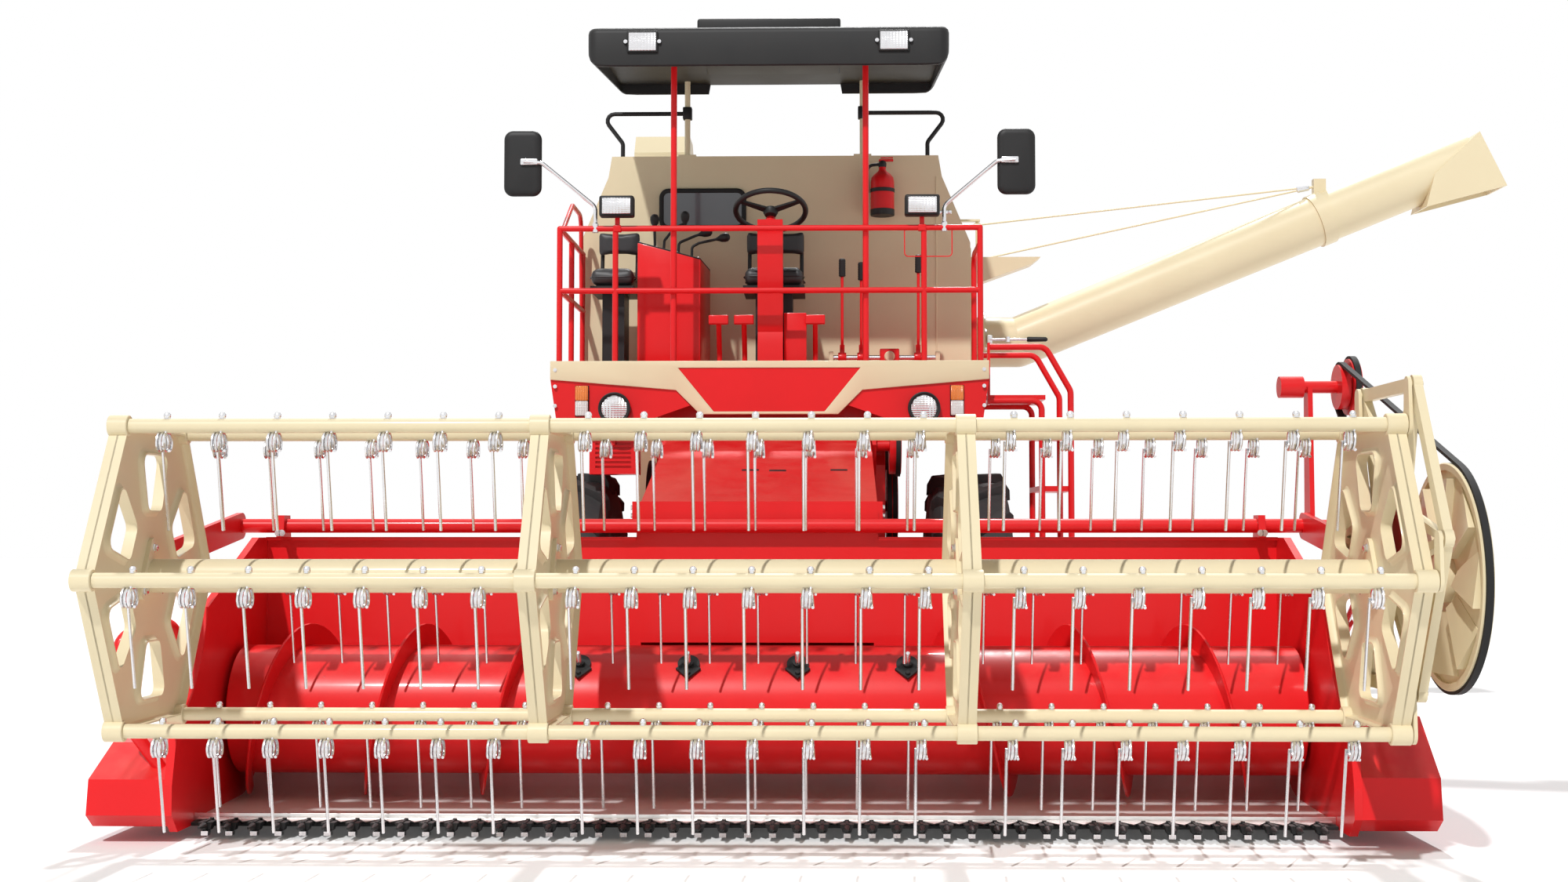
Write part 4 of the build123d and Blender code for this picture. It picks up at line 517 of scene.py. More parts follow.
def block(mesh, low, high, edge=0.0, turn=None):
    """A block between two corners, its edges rounded, turned about its middle if a matrix is given."""
    low, high = Vector(low), Vector(high)
    made = bmesh.ops.create_cube(mesh, size=1)["verts"]
    for corner in made:
        corner.co = Vector([corner.co[axis] * (high - low)[axis] for axis in range(3)])
    if edge:
        edges = list({edge_line for corner in made for edge_line in corner.link_edges})
        made = bmesh.ops.bevel(mesh, geom=made + edges, offset=edge, segments=3, affect="EDGES",
                               profile=0.5)["verts"]
    for corner in made:
        if turn is not None:
            corner.co = turn @ corner.co
        corner.co += (low + high) / 2


def slab(mesh, x, half, ys, zs, edge, turn=None):
    """A block that reaches half its width to both sides of x, between two ys and two zs."""
    block(mesh, at(x - half, ys[0], zs[0]), at(x + half, ys[1], zs[1]), edge, turn)


def sheet_cut(mesh, outline, side, depth):
    """A flat plate: its outline's points swept by a depth along a direction."""
    way = Vector(side).normalized() * depth
    skin(mesh, [[Vector(point) for point in outline], [Vector(point) + way for point in outline]])


def gather(mesh, part):
    """Add a shape that was made apart to an open mesh."""
    data = bpy.data.meshes.new("part")
    part.to_mesh(data)
    part.free()
    mesh.from_mesh(data)
    bpy.data.meshes.remove(data)


def baked(thing):
    """An object's mesh with its modifiers worked in."""
    return bpy.data.meshes.new_from_object(thing.evaluated_get(bpy.context.evaluated_depsgraph_get()))


def piece(name, mesh, finish, body, replaced=(), sharp=35):
    """Close an open mesh into a finished piece that rides on a body."""
    bmesh.ops.remove_doubles(mesh, verts=mesh.verts, dist=1e-5)
    bmesh.ops.recalc_face_normals(mesh, faces=mesh.faces)
    data = bpy.data.meshes.new(name)
    mesh.to_mesh(data)
    mesh.free()
    return settle(name, data, finish, body, replaced, sharp)


def settle(name, data, finish, body, replaced=(), sharp=35):
    """Put a plain mesh in the scene, shade it smooth up to an angle, and let it ride."""
    data.polygons.foreach_set("use_smooth", [True] * len(data.polygons))
    data.set_sharp_from_angle(angle=math.radians(sharp))
    made = shown(name, data)
    data.materials.clear()
    data.materials.append(finish.material)
    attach(made, body)
    if replaced:
        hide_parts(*replaced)
    return made


print("shape helpers ready")

# %% [markdown]
# ## Recipes that repeat
#
# Bolts, tines, guards and lugs are one small shape repeated. A Geometry Nodes
# tree does this best: it takes points, each with the way it faces, puts the
# small shape on all of them, and its sizes stay named inputs. The result is
# turned into a plain mesh, because the export keeps no instances.

# %% A recipe of geometry nodes, and how it is baked


class Recipe:
    """A Geometry Nodes tree with named sizes."""

    def __init__(self, name, **sizes):
        self.tree = bpy.data.node_groups.new(name, "GeometryNodeTree")
        face = self.tree.interface
        face.new_socket("Geometry", in_out="INPUT", socket_type="NodeSocketGeometry")
        for label, value in sizes.items():
            kind = "NodeSocketInt" if isinstance(value, int) else "NodeSocketFloat"
            face.new_socket(label, in_out="INPUT", socket_type=kind).default_value = value
        face.new_socket("Geometry", in_out="OUTPUT", socket_type="NodeSocketGeometry")
        self.given = self.tree.nodes.new("NodeGroupInput")
        self.done = self.tree.nodes.new("NodeGroupOutput")

    def node(self, kind, settings=(), sockets=()):
        """Any node: settings first, then values or links of its sockets."""
        new = self.tree.nodes.new(kind)
        for key, value in dict(settings).items():
            setattr(new, key, value)
        for key, value in dict(sockets).items():
            for one in value if isinstance(value, list) else [value]:
                if isinstance(one, bpy.types.NodeSocket):
                    self.tree.links.new(one, new.inputs[key])
                else:
                    new.inputs[key].default_value = one
        return new.outputs

    def size(self, label):
        return self.given.outputs[label]

    def sum(self, operation, first, second):
        return self.node("ShaderNodeMath", {"operation": operation}, {0: first, 1: second})[0]

    def spot(self, x=0.0, y=0.0, z=0.0):
        return self.node("ShaderNodeCombineXYZ", {}, {"X": x, "Y": y, "Z": z})[0]

    def shift(self, shape, place=(0, 0, 0), turn=(0, 0, 0)):
        sockets = {"Geometry": shape, "Translation": place, "Rotation": turn}
        return self.node("GeometryNodeTransform", {}, sockets)[0]

    def rod(self, sides, radius, depth, place=(0, 0, 0), turn=(0, 0, 0)):
        """A short rod whose middle is moved and turned."""
        sockets = {"Vertices": sides, "Radius": radius, "Depth": depth}
        return self.shift(self.node("GeometryNodeMeshCylinder", {}, sockets)["Mesh"], place, turn)

    def cone(self, sides, top, foot, depth, place, turn):
        """A blunt cone whose middle is moved and turned."""
        sockets = {"Vertices": sides, "Radius Top": top, "Radius Bottom": foot, "Depth": depth}
        return self.shift(self.node("GeometryNodeMeshCone", {}, sockets)["Mesh"], place, turn)

    def cube(self, size, place):
        """A block about a place."""
        return self.shift(self.node("GeometryNodeMeshCube", {}, {"Size": size})["Mesh"], place)

    def join(self, *shapes):
        return self.node("GeometryNodeJoinGeometry", {}, {0: list(shapes)})[0]

    def on_points(self, shape):
        """Put the shape on every given point, its Z along the point's own way."""
        way = self.node("GeometryNodeInputNamedAttribute", {"data_type": "FLOAT_VECTOR"}, {"Name": "way"})[0]
        turn = self.node("FunctionNodeAlignRotationToVector", {"axis": "Z"}, {"Vector": way})[0]
        self.copies(self.given.outputs[0], shape, turn)

    def copies(self, points, shape, turn):
        """Put turned copies on points, make them real, give them their material and hand them out."""
        sockets = {"Points": points, "Instance": shape, "Rotation": turn}
        placed = self.node("GeometryNodeInstanceOnPoints", {}, sockets)[0]
        real = self.node("GeometryNodeRealizeInstances", {}, {0: placed})[0]
        self.paint = self.tree.nodes.new("GeometryNodeSetMaterial")
        self.tree.links.new(real, self.paint.inputs["Geometry"])
        self.tree.links.new(self.paint.outputs[0], self.done.inputs[0])

    def bake(self, name, data, finish, body, **sizes):
        """Run the recipe on a mesh, and keep the result as a plain piece."""
        self.paint.inputs["Material"].default_value = finish.material
        carrier = shown(name + "_points", data)
        work = carrier.modifiers.new("recipe", "NODES")
        work.node_group = self.tree
        for item in self.tree.interface.items_tree:
            if item.in_out == "INPUT" and item.name in sizes:
                work[item.identifier] = sizes[item.name]
        solid = baked(carrier)
        carrier.modifiers.remove(work)
        bpy.data.objects.remove(carrier)
        return settle(name, solid, finish, body)


def points_facing(rows):
    """A mesh of bare points, each with the way its copy faces."""
    data = bpy.data.meshes.new("points")
    data.from_pydata([tuple(place) for place, _ in rows], [], [])
    way = data.attributes.new("way", "FLOAT_VECTOR", "POINT")
    way.data.foreach_set("vector", [part for _, facing in rows for part in facing])
    return data


bolt = Recipe("bolt_heads", Across=0.018, Height=0.009, Washer=0.003)
head = bolt.rod(6, bolt.sum("MULTIPLY", bolt.size("Across"), 0.5), bolt.size("Height"),
                bolt.spot(z=bolt.sum("MULTIPLY", bolt.size("Height"), 0.5)))
washer = bolt.rod(12, bolt.sum("MULTIPLY", bolt.size("Across"), 0.72), bolt.size("Washer"))
bolt.on_points(bolt.join(head, washer))


def bolts(name, rows, body, across):
    """Hexagon bolts with washers at (place, facing) pairs."""
    bolt.bake(name, points_facing(rows), plated, body, Across=across, Height=across * 0.5)


def bolt_ring(x, y, z, radius, count, side, start=0.0):
    """Places and facings of a ring of bolts round an axle."""
    return [(at(x, y + radius * math.cos(turn), z + radius * math.sin(turn)), (side, 0, 0))
            for turn in full_turn(count, start)]


print("recipes", [tree.name for tree in bpy.data.node_groups])

# %% [markdown]
# ## Tines on the reel's bats
#
# Each bat carries spring tines: three turns of wire round a coil, one long leg
# that combs the crop, and a bolt on top that clamps the coil. The plain solids
# give coil and leg as blocks, so here the bats are made again in full, tube,
# crank and pin as before, and the tines come from one recipe.

# %% The tine recipe
bat_radius, coil_radius, wire, coil_half, coil_drop = 0.025, 0.0315, 0.0054, 0.0175, 0.054
tine = Recipe("spring_tine", Coil=coil_radius, Wire=wire, Turns=3.0, Reach=0.358, Rake=0.110)
wire_ring = tine.node("GeometryNodeCurvePrimitiveCircle", {}, {"Resolution": 6, "Radius": tine.size("Wire")})
spring = tine.node("GeometryNodeCurveSpiral", {}, {
    "Resolution": 16, "Rotations": tine.size("Turns"), "Start Radius": tine.size("Coil"),
    "End Radius": tine.size("Coil"), "Height": 2 * coil_half})[0]
spring = tine.shift(spring, (-coil_half, 0, -coil_drop), (0, math.pi / 2, 0))
leg = tine.node("GeometryNodeCurvePrimitiveLine", {}, {
    "Start": tine.spot(-coil_half, tine.size("Coil"), -coil_drop),
    "End": tine.spot(-coil_half, tine.size("Rake"), tine.sum("MULTIPLY", tine.size("Reach"), -1))})[0]
wires = tine.node("GeometryNodeCurveToMesh", {}, {
    0: tine.join(spring, leg), 1: wire_ring["Curve"], "Fill Caps": True})[0]
clamp = tine.rod(6, 0.0115, 0.012, (coil_half * 0.6, 0, bat_radius + 0.005))
cap = tine.node("GeometryNodeMeshUVSphere", {}, {"Segments": 10, "Rings": 5, "Radius": 0.0130})["Mesh"]
cap = tine.shift(cap, (coil_half * 0.6, 0, bat_radius + 0.010))
hook = tine.rod(6, wire, 0.05, (coil_half * 0.6, -coil_radius * 0.4, -0.012))
tine.on_points(tine.join(wires, clamp, cap, hook))

# %% Six bats with their tines
sections, tines_a_section, tine_pitch, section_pitch = 3, 7, 0.190, 1.446
crank_length, crank_foot, crank_head, crank_thick = 0.137, 0.034, 0.026, 0.012


def centred(count, pitch):
    """Places in a row about 0, one pitch apart."""
    return [pitch * (step - (count - 1) / 2) for step in range(count)]


for number in range(1, 7):
    node = f"tine_bar_{number}"
    low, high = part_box(node)
    crank = [corner.co.y for corner in nodes[node].data.vertices if corner.co.z > high.z - 0.040]
    bat_y = (min(crank) + max(crank)) / 2
    bat_z = high.z - crank_head - crank_length
    bat_end = high.x - 0.056
    bat = bmesh.new()
    turned(bat, (low.x, bat_y, bat_z), x_way,
           [(0, bat_radius - 0.003), (0.003, bat_radius), (bat_end - low.x, bat_radius)], 24)
    arm = [Vector((bat_end, bat_y + radius * math.cos(turn), bat_z + rise + radius * math.sin(turn)))
           for start, radius, rise in ((math.pi, crank_foot, 0), (0, crank_head, crank_length))
           for turn in [start + math.pi * step / 8 for step in range(9)]]
    sheet_cut(bat, arm, x_way, crank_thick)
    turned(bat, (bat_end + crank_thick, bat_y, bat_z + crank_length), x_way,
           [(0, 0.012), (0.042, 0.012), (0.044, 0.010)], 16)
    piece(f"bat_{number}", bat, cream, node, [node])
    spots = [(Vector((header_mid + section_x + tine_x, bat_y, bat_z)), z_way)
             for section_x in centred(sections, section_pitch)
             for tine_x in centred(tines_a_section, tine_pitch)]
    comb = tine.bake(f"tines_{number}", points_facing(spots), plated, node)
print("tines", len(comb.data.polygons) * 6, "faces on six bats")

# %% [markdown]
# ## Lamps
#
# Every lamp is a black housing with a fluted lens in front of a bright
# reflector. A real lens would need a mirror and a bulb behind it. From a few
# steps away a metallic grey with ribs pressed into it looks the same, and it
# bakes well, so the lens is one bulged plate with that finish.

# %% Lens finishes


def lens_finish(name, colour, metal=0.0, ribs=0.006):
    """A moulded lens: ribs across it, bright behind."""
    lens = Finish(name)
    x, _, z = lens.axes()
    waves = [lens.node("ShaderNodeMath", {"operation": "PINGPONG"}, {0: way, 1: width}).out(0) * (1 / ribs)
             for way, width in ((x, ribs), (z, ribs * 0.7))]
    cloud = lens.noise(35, 3)
    lens.set(colour=lens.mix(cloud * 0.45, colour, rgb(*[part * 0.55 for part in colour[:3]])), metal=metal,
             rough=0.10 + cloud * 0.12, coat=0.8, coat_rough=0.03)
    lens.bump(waves[0] + waves[1], 0.003, 0.7)
    return lens


clear_lens = lens_finish("clear_lens", rgb(0.80, 0.80, 0.82), 0.75, 0.008)
amber_lens = lens_finish("amber_lens", rgb(0.95, 0.25, 0.02))
white_lens = lens_finish("white_lens", rgb(0.85, 0.85, 0.83))
ruby_lens = lens_finish("ruby_lens", rgb(0.55, 0.01, 0.015))

# %% Housings and lenses
fascia_y, lamp_z = -0.514, 1.785
rail_y, rail_z = -0.49, 2.725
canopy_y, canopy_z = -0.72, 3.65
head_x, roof_lamp_x, ear_reach = 0.795, 0.640, 0.086
housings, clears, ambers, whites, rubies, brackets = (bmesh.new() for _ in range(6))
fascia, roof, rail, tail = (fascia_y, lamp_z), (canopy_y, canopy_z), (rail_y, rail_z), (4.380, 1.700)
lamp_rows = (
    # mesh, seat (y, z), x and half the width, ys and zs from the seat, rounded edge
    (housings, fascia, 0.965, 0.036, (-0.020, -0.012), (-0.040, 0.120), 0.003),
    (ambers, fascia, 0.965, 0.033, (-0.040, -0.018), (0.041, 0.117), 0.006),
    (whites, fascia, 0.965, 0.033, (-0.040, -0.018), (-0.037, 0.039), 0.006),
    (housings, roof, roof_lamp_x, 0.079, (-0.012, -0.001), (-0.060, 0.050), 0.005),
    (clears, roof, roof_lamp_x, 0.070, (-0.014, -0.004), (-0.052, 0.042), 0.004),
    (housings, roof, roof_lamp_x + ear_reach, 0.010, (-0.010, -0.001), (-0.012, 0.004), 0.002),
    (housings, roof, roof_lamp_x - ear_reach, 0.010, (-0.010, -0.001), (-0.012, 0.004), 0.002),
    (housings, rail, 0.790, 0.090, (-0.062, 0.010), (0.055, 0.165), 0.012),
    (clears, rail, 0.790, 0.074, (-0.070, -0.055), (0.068, 0.152), 0.005),
    (brackets, rail, 0.790, 0.012, (-0.012, 0.008), (0.012, 0.058), 0.002),
    (brackets, rail, 0.790, 0.020, (-0.020, 0.018), (-0.018, 0.016), 0.004),
    (rubies, tail, 0.500, 0.060, (0, 0.026), (0, 0.100), 0.006),
)
for side in (1, -1):
    turned(housings, at(side * head_x, fascia_y - 0.014, lamp_z), (0, -1, 0),
           [(0, 0.078), (0.028, 0.084), (0.040, 0.083), (0.043, 0.078), (0.040, 0.070), (0.030, 0.068)], 40)
    turned(clears, at(side * head_x, fascia_y - 0.040, lamp_z), (0, -1, 0),
           [(0, 0.070), (0.008, 0.066), (0.013, 0.048), (0.016, 0.024), (0.017, 0.002)], 36)
    for mesh, (seat_y, seat_z), x, half, ys, zs, edge in lamp_rows:
        slab(mesh, side * x, half, [seat_y + y for y in ys], [seat_z + z for z in zs], edge)
piece("lamp_housings", housings, black_plastic, "machine", ["lamps"])
piece("clear_lenses", clears, clear_lens, "machine")
piece("amber_lenses", ambers, amber_lens, "machine")
piece("white_lenses", whites, white_lens, "machine")
piece("tail_lenses", rubies, ruby_lens, "machine")
piece("work_lamp_brackets", brackets, red, "machine")
screws = [(at(side * roof_lamp_x + ear * ear_reach, canopy_y - 0.010, canopy_z - 0.004), (0, -1, 0))
          for side in (1, -1) for ear in (1, -1)]
screws += [(at(side * 1.104, fascia_y - 0.026, z), (0, -1, 0))
           for side in (1, -1) for z in (1.80, 1.90, 1.985)]
bolts("lamp_and_fascia_screws", screws, "machine", 0.014)
print("lamps", len(screws), "screws")

# %% [markdown]
# ## Mirrors, wheel and levers
#
# These are what a driver touches. The mirrors hang on polished tubes, and their
# backs are moulded with a round edge. The steering wheel is a plastic ring on
# three flat spokes, and every lever ends in a knob or a grip.

# %% Mirrors


def rounded_plate(middle, half_width, half_height, corner):
    """An upright rectangle with round corners, as one loop of points."""
    loop = []
    for right, up, start in ((1, 1, 0), (-1, 1, 90), (-1, -1, 180), (1, -1, 270)):
        for turn in [math.radians(start + 15 * step) for step in range(7)]:
            loop.append(middle + Vector((right * (half_width - corner) + corner * math.cos(turn), 0,
                                         up * (half_height - corner) + corner * math.sin(turn))))
    return loop


mirror_backs, mirror_arms = bmesh.new(), bmesh.new()
mirror_x, arm_x, mirror_z = 1.270, 0.905, 3.050
dish = ((0.030, 0), (0.014, 0.002), (0.004, 0.008), (0, 0.016), (0, 0.026), (0.006, 0.030), (0.014, 0.030))
for side in (1, -1):
    skin(mirror_backs, [rounded_plate(at(side * mirror_x, rail_y - 0.110 + deep, mirror_z),
                                      0.097 - inset, 0.170 - inset, 0.046 - inset) for inset, deep in dish])
    slab(mirror_backs, side * mirror_x, 0.070, (rail_y - 0.084, rail_y - 0.071), (2.915, 3.185), 0.012)
    tube(mirror_arms, [at(side * arm_x, rail_y, rail_z), at(side * arm_x, rail_y, 2.84),
                       at(side * 1.170, rail_y - 0.110, mirror_z), at(side * 1.262, rail_y - 0.124, 3.055)],
         0.0105, 0.04)
    turned(mirror_arms, at(side * arm_x, rail_y, rail_z - 0.020), z_way,
           [(0, 0.016), (0.045, 0.016), (0.052, 0.011)], 16)
    slab(mirror_arms, side * 1.235, 0.045, (rail_y - 0.124, rail_y - 0.108), (3.038, 3.072), 0.006)
piece("mirror_backs", mirror_backs, black_plastic, "machine", ["mirrors"])
piece("mirror_arms", mirror_arms, plated, "machine")

# %% Steering wheel
wheel_middle, wheel_up = at(0, -0.29, 2.85), Vector((0, 0.42, 0.91)).normalized()
wheel_side, wheel_fore = frame_round(wheel_up)
wheel = bmesh.new()
ring = circle(wheel_middle, wheel_side, wheel_fore, 0.185, 56)
skin(wheel, [circle(point, (point - wheel_middle).normalized(), wheel_up, 0.0148, 12) for point in ring],
     closed=True)
for turn in [math.radians(degrees) for degrees in (90, 210, 330)]:
    way = x_way * math.cos(turn) + wheel_up.cross(x_way) * math.sin(turn)
    across = wheel_up.cross(way)
    outline = [way * 0.02 + across * 0.020, way * 0.183 + across * 0.011, way * 0.183 - across * 0.011,
               way * 0.02 - across * 0.020]
    sheet_cut(wheel, [wheel_middle - wheel_up * 0.008 + point for point in outline], wheel_up, 0.012)
turned(wheel, wheel_middle - wheel_up * 0.030, wheel_up,
       [(0, 0.030), (0.020, 0.040), (0.036, 0.038), (0.044, 0.026), (0.046, 0.004)], 28)
piece("steering_ring", wheel, black_plastic, "machine", ["steering_wheel"])

# %% Knobs, grips and boots
knobs = bmesh.new()
lever_rows = (
    # rod from its gate to its knob, as (x, z)
    ((-0.640, 2.600), (-0.644, 2.805), (-0.644, 2.862)),
    ((-0.601, 2.600), (-0.590, 2.740), (-0.540, 2.805), (-0.478, 2.838), (-0.478, 2.878)),
    ((-0.520, 2.600), (-0.510, 2.728), (-0.420, 2.766), (-0.352, 2.786)),
    ((-0.443, 2.560), (-0.439, 2.706), (-0.400, 2.726), (-0.255, 2.757)),
)
knob_outline = ((0, 0.009), (0.012, 0.013), (0.026, 0.021), (0.044, 0.025), (0.060, 0.024), (0.072, 0.015),
                (0.076, 0.003))
boot_outline = ((0, 0.034), (0.030, 0.034), (0.036, 0.026), (0.046, 0.028), (0.054, 0.020), (0.064, 0.022),
                (0.076, 0.011))
for row in lever_rows:
    route = [at(x, 0.02, z) for x, z in row]
    way = (route[-1] - route[-2]).normalized()
    tube(knobs, route[:-1] + [route[-1] - way * 0.030], 0.0075, 0.025, 10)
    turned(knobs, route[-1] - way * 0.052, way, knob_outline, 20)
    turned(knobs, route[0] + z_way * 0.004, z_way, boot_outline, 20)
hand_levers = ((0.380, 2.54), (0.484, 2.52), (0.794, 2.56))
for x, grip_z in hand_levers:
    low_end, high_end = at(x, 0.010, grip_z), at(x, 0, grip_z + 0.09)
    length = (high_end - low_end).length
    outline = [(-0.004, 0.012)]
    for step in range(7):
        rib = step * length / 7
        outline += [(rib, 0.0178), (rib + 0.004, 0.0192), (rib + 0.009, 0.0178)]
    outline += [(length + 0.002, 0.0170), (length + 0.006, 0.006)]
    turned(knobs, low_end, high_end - low_end, outline, 16)
piece("knobs_and_grips", knobs, black_plastic, "machine")
clamps = bmesh.new()
for side in (1, -1):
    slab(clamps, side * 0.5, 0.026, (0.452, 0.508), (3.505, 3.575), 0.006)
piece("handrail_clamps", clamps, black_plastic, "machine")
print("levers", len(lever_rows) + len(hand_levers))

# %% [markdown]
# ## Fire extinguisher and window frame
#
# The bottle is a turned shape with a domed shoulder, standing in a black boot,
# with a valve, a squeeze handle and a strap. The tank's window sits in a round
# rubber profile.

# %% Extinguisher
bottle, fittings = bmesh.new(), bmesh.new()
stand_x, stand_y, stand_z = 0.61, 0.37, 2.930
turned_rows = (
    # mesh, height of its foot above the stand, sides, outline
    (bottle, 0, 32, ((0.012, 0.060), (0.020, 0.067), (0.190, 0.067), (0.215, 0.062), (0.235, 0.046),
                     (0.250, 0.026), (0.262, 0.020), (0.285, 0.020))),
    (fittings, 0, 32, ((0, 0.066), (0.004, 0.068), (0.034, 0.068), (0.036, 0.0655))),
    (fittings, 0.275, 20, ((0, 0.022), (0.020, 0.024), (0.036, 0.016))),
    (fittings, 0.130, 32, ((0, 0.0675), (0.002, 0.0695), (0.020, 0.0695), (0.022, 0.0675))),
)
for mesh, foot, sides, outline in turned_rows:
    turned(mesh, at(stand_x, stand_y, stand_z + foot), z_way, outline, sides)
slab(bottle, stand_x + 0.021, 0.041, (stand_y - 0.012, stand_y + 0.012), (3.238, 3.250), 0.003)
slab(bottle, stand_x + 0.025, 0.035, (stand_y - 0.010, stand_y + 0.010), (3.256, 3.262), 0.002)
tube(fittings, [at(stand_x - 0.018, stand_y, 3.222), at(stand_x - 0.085, stand_y - 0.005, 3.215),
                at(stand_x - 0.082, stand_y - 0.015, 3.060)], 0.009, 0.04)
slab(fittings, stand_x, 0.060, (0.440, 0.459), (3.010, 3.130), 0.004)
slab(fittings, stand_x, 0.020, (0.420, 0.442), (3.030, 3.110), 0.004)
piece("extinguisher_bottle", bottle, red, "machine", ["fire_extinguisher"])
piece("extinguisher_fittings", fittings, black_plastic, "machine")

# %% Window rubber
rubber_frame = bmesh.new()
path = rounded_plate(at(-0.410, 0.444, 2.985), 0.235, 0.105, 0.04)
loops = []
for before, point, after in zip(path[-1:] + path[:-1], path, path[1:] + path[:1]):
    out = (after - before).normalized().cross(Vector((0, -1, 0)))
    loops.append(circle(point, out * 0.013, Vector((0, -0.009, 0)), 1, 10))
skin(rubber_frame, loops, closed=True)
piece("window_rubber", rubber_frame, belt_rubber, "machine")
print("window frame", len(path), "places")

# %% [markdown]
# ## Seats
#
# The seats are foam under black vinyl. A cushion is crowned, its sides pull in
# between the corners, and a piping runs round it. Blender's cloth, blown up with
# a little pressure, gives that shape by itself: the pad starts smaller than the
# space it fills, swells, and is then fixed as a mesh.

# %% Vinyl, and a pad that swells
vinyl = Finish("seat_vinyl")
leather_grain = vinyl.noise(420, 3, 0.6)
vinyl_cloud = vinyl.noise(8, 4)
vinyl_tone = vinyl.mix(vinyl_cloud * 0.5, rgb(0.014, 0.014, 0.016), rgb(0.035, 0.034, 0.034))
vinyl.set(colour=vinyl_tone, rough=0.38 + vinyl_cloud * 0.15)
vinyl.bump(leather_grain, 0.0006, 0.6)


def pad(name, low, high, replaced=(), swell=0.010):
    """A stuffed pad inside a box: a rounded block that cloth blows up."""
    low, high = Vector(low), Vector(high)
    inset = Vector((swell, swell, swell * 0.8))
    mesh = bmesh.new()
    block(mesh, low + inset, high - inset, min(high - low) * 0.30)
    data = bpy.data.meshes.new(name)
    mesh.to_mesh(data)
    mesh.free()
    made = shown(name, data)
    bpy.context.view_layer.objects.active = made
    skin_size = made.modifiers.new("skin", "REMESH")
    skin_size.mode, skin_size.voxel_size = "VOXEL", 0.010
    solid = baked(made)
    made.modifiers.clear()
    made.data = solid
    before = [vertex.co.copy() for vertex in solid.vertices]
    cloth = made.modifiers.new("cloth", "CLOTH")
    cloth.settings.use_pressure = True
    cloth.settings.uniform_pressure_force = 4
    cloth.settings.effector_weights.gravity = 0
    for frame_number in range(1, 16):
        studio.frame_set(frame_number)
    blown = baked(made)
    made.modifiers.clear()
    made.data = blown
    studio.frame_set(1)
    for vertex, start in zip(blown.vertices, before):
        move = vertex.co - start
        vertex.co = start + move.normalized() * min(move.length, swell) if move.length > 0 else start
        vertex.co = Vector([min(max(vertex.co[axis], low[axis]), high[axis]) for axis in range(3)])
    made.data.polygons.foreach_set("use_smooth", [True] * len(made.data.polygons))
    made.data.materials.append(vinyl.material)
    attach(made, "machine")
    if replaced:
        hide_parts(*replaced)
    return made


# %% Two seats with their piping
piping = bmesh.new()
seat_rows = (("driver", 0.010, 0.176), ("passenger", -0.865, 0.128))
for who, seat_x, half in seat_rows:
    low, high = at(seat_x - half, -0.095, 2.4805), at(seat_x + half, 0.265, 2.580)
    cushion = pad(f"{who}_cushion", low, high, ["seat_cushions"] if who == "driver" else ())
    back_low, back_high = at(seat_x - half + 0.004, 0.248, 2.690), at(seat_x + half - 0.004, 0.302, 2.830)
    pad(f"{who}_back", back_low, back_high, swell=0.008)
    middle = (low + high) / 2
    rim = [vertex.co - middle for vertex in cushion.data.vertices if abs(vertex.co.z - middle.z) < 0.016]
    ring = []
    for turn in full_turn(40):
        way = Vector((math.cos(turn), math.sin(turn), 0))
        far = max(point.dot(way) - 0.6 * abs(point.dot(way.orthogonal())) for point in rim)
        ring.append(middle + way * far)
    skin(piping, [circle(point, (point - middle).normalized(), z_way, 0.0035, 8) for point in ring],
         closed=True)
piece("seat_piping", piping, vinyl, "machine")
print("seats", len(seat_rows))

# %% [markdown]
# ## Tyres
#
# A traction tyre is a smooth carcass with bars that lean back from the middle.
# The carcass is a turned part. The bars are one lug, bevelled as moulded rubber
# is, and a recipe turns copies of it round the axle.

# %% Carcass and lugs
lug_pairs = 17
around = Recipe("around_the_axle", Copies=lug_pairs)
turn_step = around.sum("DIVIDE", math.tau, around.size("Copies"))
number = around.node("GeometryNodeInputIndex")[0]
spots = around.node("GeometryNodePoints", {}, {"Count": around.size("Copies")})[0]
around.copies(spots, around.given.outputs[0], around.spot(x=around.sum("MULTIPLY", number, turn_step)))


def carcass(hand, side, axle, half_track, y, radius, outline):
    """A turned tyre on its wheel."""
    mesh = bmesh.new()
    turned(mesh, at(side * half_track, y, radius), x_way, outline, 96, closed=True)
    piece(f"{axle}_rubber_{hand}", mesh, tyre, f"{axle}_wheel_{hand}", [f"{axle}_tyre_{hand}"])


def mirrored(half_outline):
    """A whole outline from its left half."""
    return list(half_outline) + [(-x, radius) for x, radius in half_outline[::-1]]


crown, rubber_half, tread_radius = 0.693, 0.215, 0.735
front_outline = mirrored(((-0.172, 0.384), (-0.180, 0.395), (-0.186, 0.42), (-0.206, 0.50), (-0.208, 0.56),
                          (-0.203, 0.61), (-0.192, 0.645), (-0.165, 0.676), (-0.11, 0.688)))
front_outline.insert(len(front_outline) // 2, (0, 0.692))


